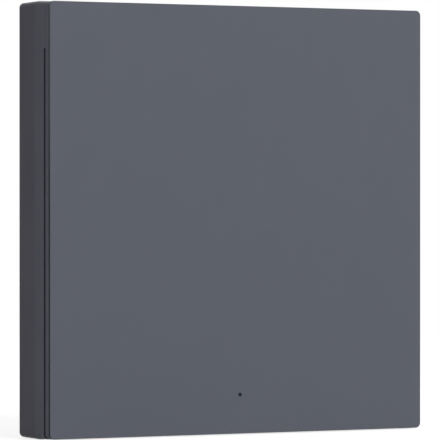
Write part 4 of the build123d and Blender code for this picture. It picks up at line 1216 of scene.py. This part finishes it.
make_rocker_cap()
make_rocker_frame()
for number in (1, 2, 3):
    make_terminal_screw(f"terminal_screw_{number}")
    make_terminal_cage(f"terminal_cage_{number}")
for side in ("left", "right"):
    make_return_spring(f"return_spring_{side}")
make_cover_screws()
make_rear_housing()
make_bulk_capacitors()
make_varistor()
make_fuse_resistor()
make_case("relay_case", 0.6, 1.2)
make_case("film_capacitor", 0.5, 0.9)
make_windings()
make_transformer_core()
make_choke_core()
make_bridge_rectifier()
make_header()
make_tact_switch()
make_stem_and_plunger()
make_lamp()
make_light_pipe()
make_radio_module()
fill_control_board()
fill_power_board()
make_busbars()
make_stamped("mounting_strap", 0.12)
make_stamped("terminal_block", 0.12)
make_stamped("header_socket", 0.1)

for node in frame["nodes"]:
    if node not in dressed:
        dress(node, copied(node))

# Stage, light and camera


def seen_directly(tree):
    """One for rays that the camera sends, also by way of metal or clear plastic, else nought."""
    path = added(tree, "LightPath").outputs
    seen = worked(tree, "MAXIMUM", path["Is Camera Ray"], path["Is Glossy Ray"])
    return worked(tree, "MAXIMUM", seen, path["Is Transmission Ray"])


def pale_floor():
    """A pale finish that shows a shadow and, seen directly, runs out to plain white."""
    material, tree, place = start_finish("pale floor")
    tree.nodes.remove(tree.nodes["Principled BSDF"])
    seen = seen_directly(tree)
    paper = added(tree, "BsdfDiffuse", color=(floor_tone,) * 3 + (1,)).outputs["BSDF"]
    glow = added(tree, "Emission", strength=worked(tree, "MULTIPLY", seen, floor_glow))
    white = added(tree, "Emission", strength=seen).outputs["Emission"]
    lit = added(tree, "AddShader")
    put(tree, paper, lit.inputs[0])
    put(tree, glow.outputs["Emission"], lit.inputs[1])
    distance = added(tree, "VectorMath")
    distance.operation = "LENGTH"
    put(tree, place, distance.inputs[0])
    far = spread(tree, distance.outputs["Value"], 0, 1, fade_start, fade_end)
    fade = added(tree, "MixShader", fac=worked(tree, "MULTIPLY", far, seen))
    put(tree, lit.outputs["Shader"], fade.inputs[1])
    put(tree, white, fade.inputs[2])
    put(tree, fade.outputs["Shader"], tree.nodes["Material Output"].inputs["Surface"])
    return material


def make_floor():
    """The floor under the object."""
    mesh = bmesh.new()
    bmesh.ops.create_grid(mesh, x_segments=1, y_segments=1, size=6.0)
    bmesh.ops.translate(mesh, verts=mesh.verts, vec=(0, 0, cad_box[0].z - floor_drop))
    covered("floor", mesh, pale_floor())


def make_world():
    """A dim even sky for the object, and white behind it."""
    world = bpy.data.worlds.new("studio")
    scene.world = world
    world.use_nodes = True
    tree = world.node_tree
    background = tree.nodes["Background"]
    background.inputs["Color"].default_value = (1, 1, 1, 1)
    strength = spread(tree, seen_directly(tree), sky_strength, 1.0, 0, 1)
    put(tree, strength, background.inputs["Strength"])


def aimed(name, data, place, way):
    """Puts a lamp or the camera at a place, so that it looks along a way."""
    item = placed(name, data)
    item.location = place
    item.rotation_mode = "QUATERNION"
    item.rotation_quaternion = way.to_track_quat("-Z", "Y")
    return item


def soft_lamp(name, place, size, power):
    """A square soft lamp that looks at the object's middle."""
    data = bpy.data.lights.new(name, "AREA")
    data.size = size
    data.energy = power
    aimed(name, data, place, -Vector(place))


make_floor()
make_world()
soft_lamp("front softbox", (0.6, -1.6, 0.35), 1.4, 31.9)
soft_lamp("left fill", (-1.6, -0.7, 0.6), 1.2, 1.45)
soft_lamp("back fill", (0.6, 1.7, 0.9), 1.2, 8.0)

camera = bpy.data.cameras.new("camera")
camera.sensor_width = sensor_width
camera.lens = lens_length
camera.clip_start = 0.01
camera.clip_end = 20.0
scene.camera = aimed("camera", camera, camera_place, camera_aim)

scene.view_settings.view_transform = "Standard"
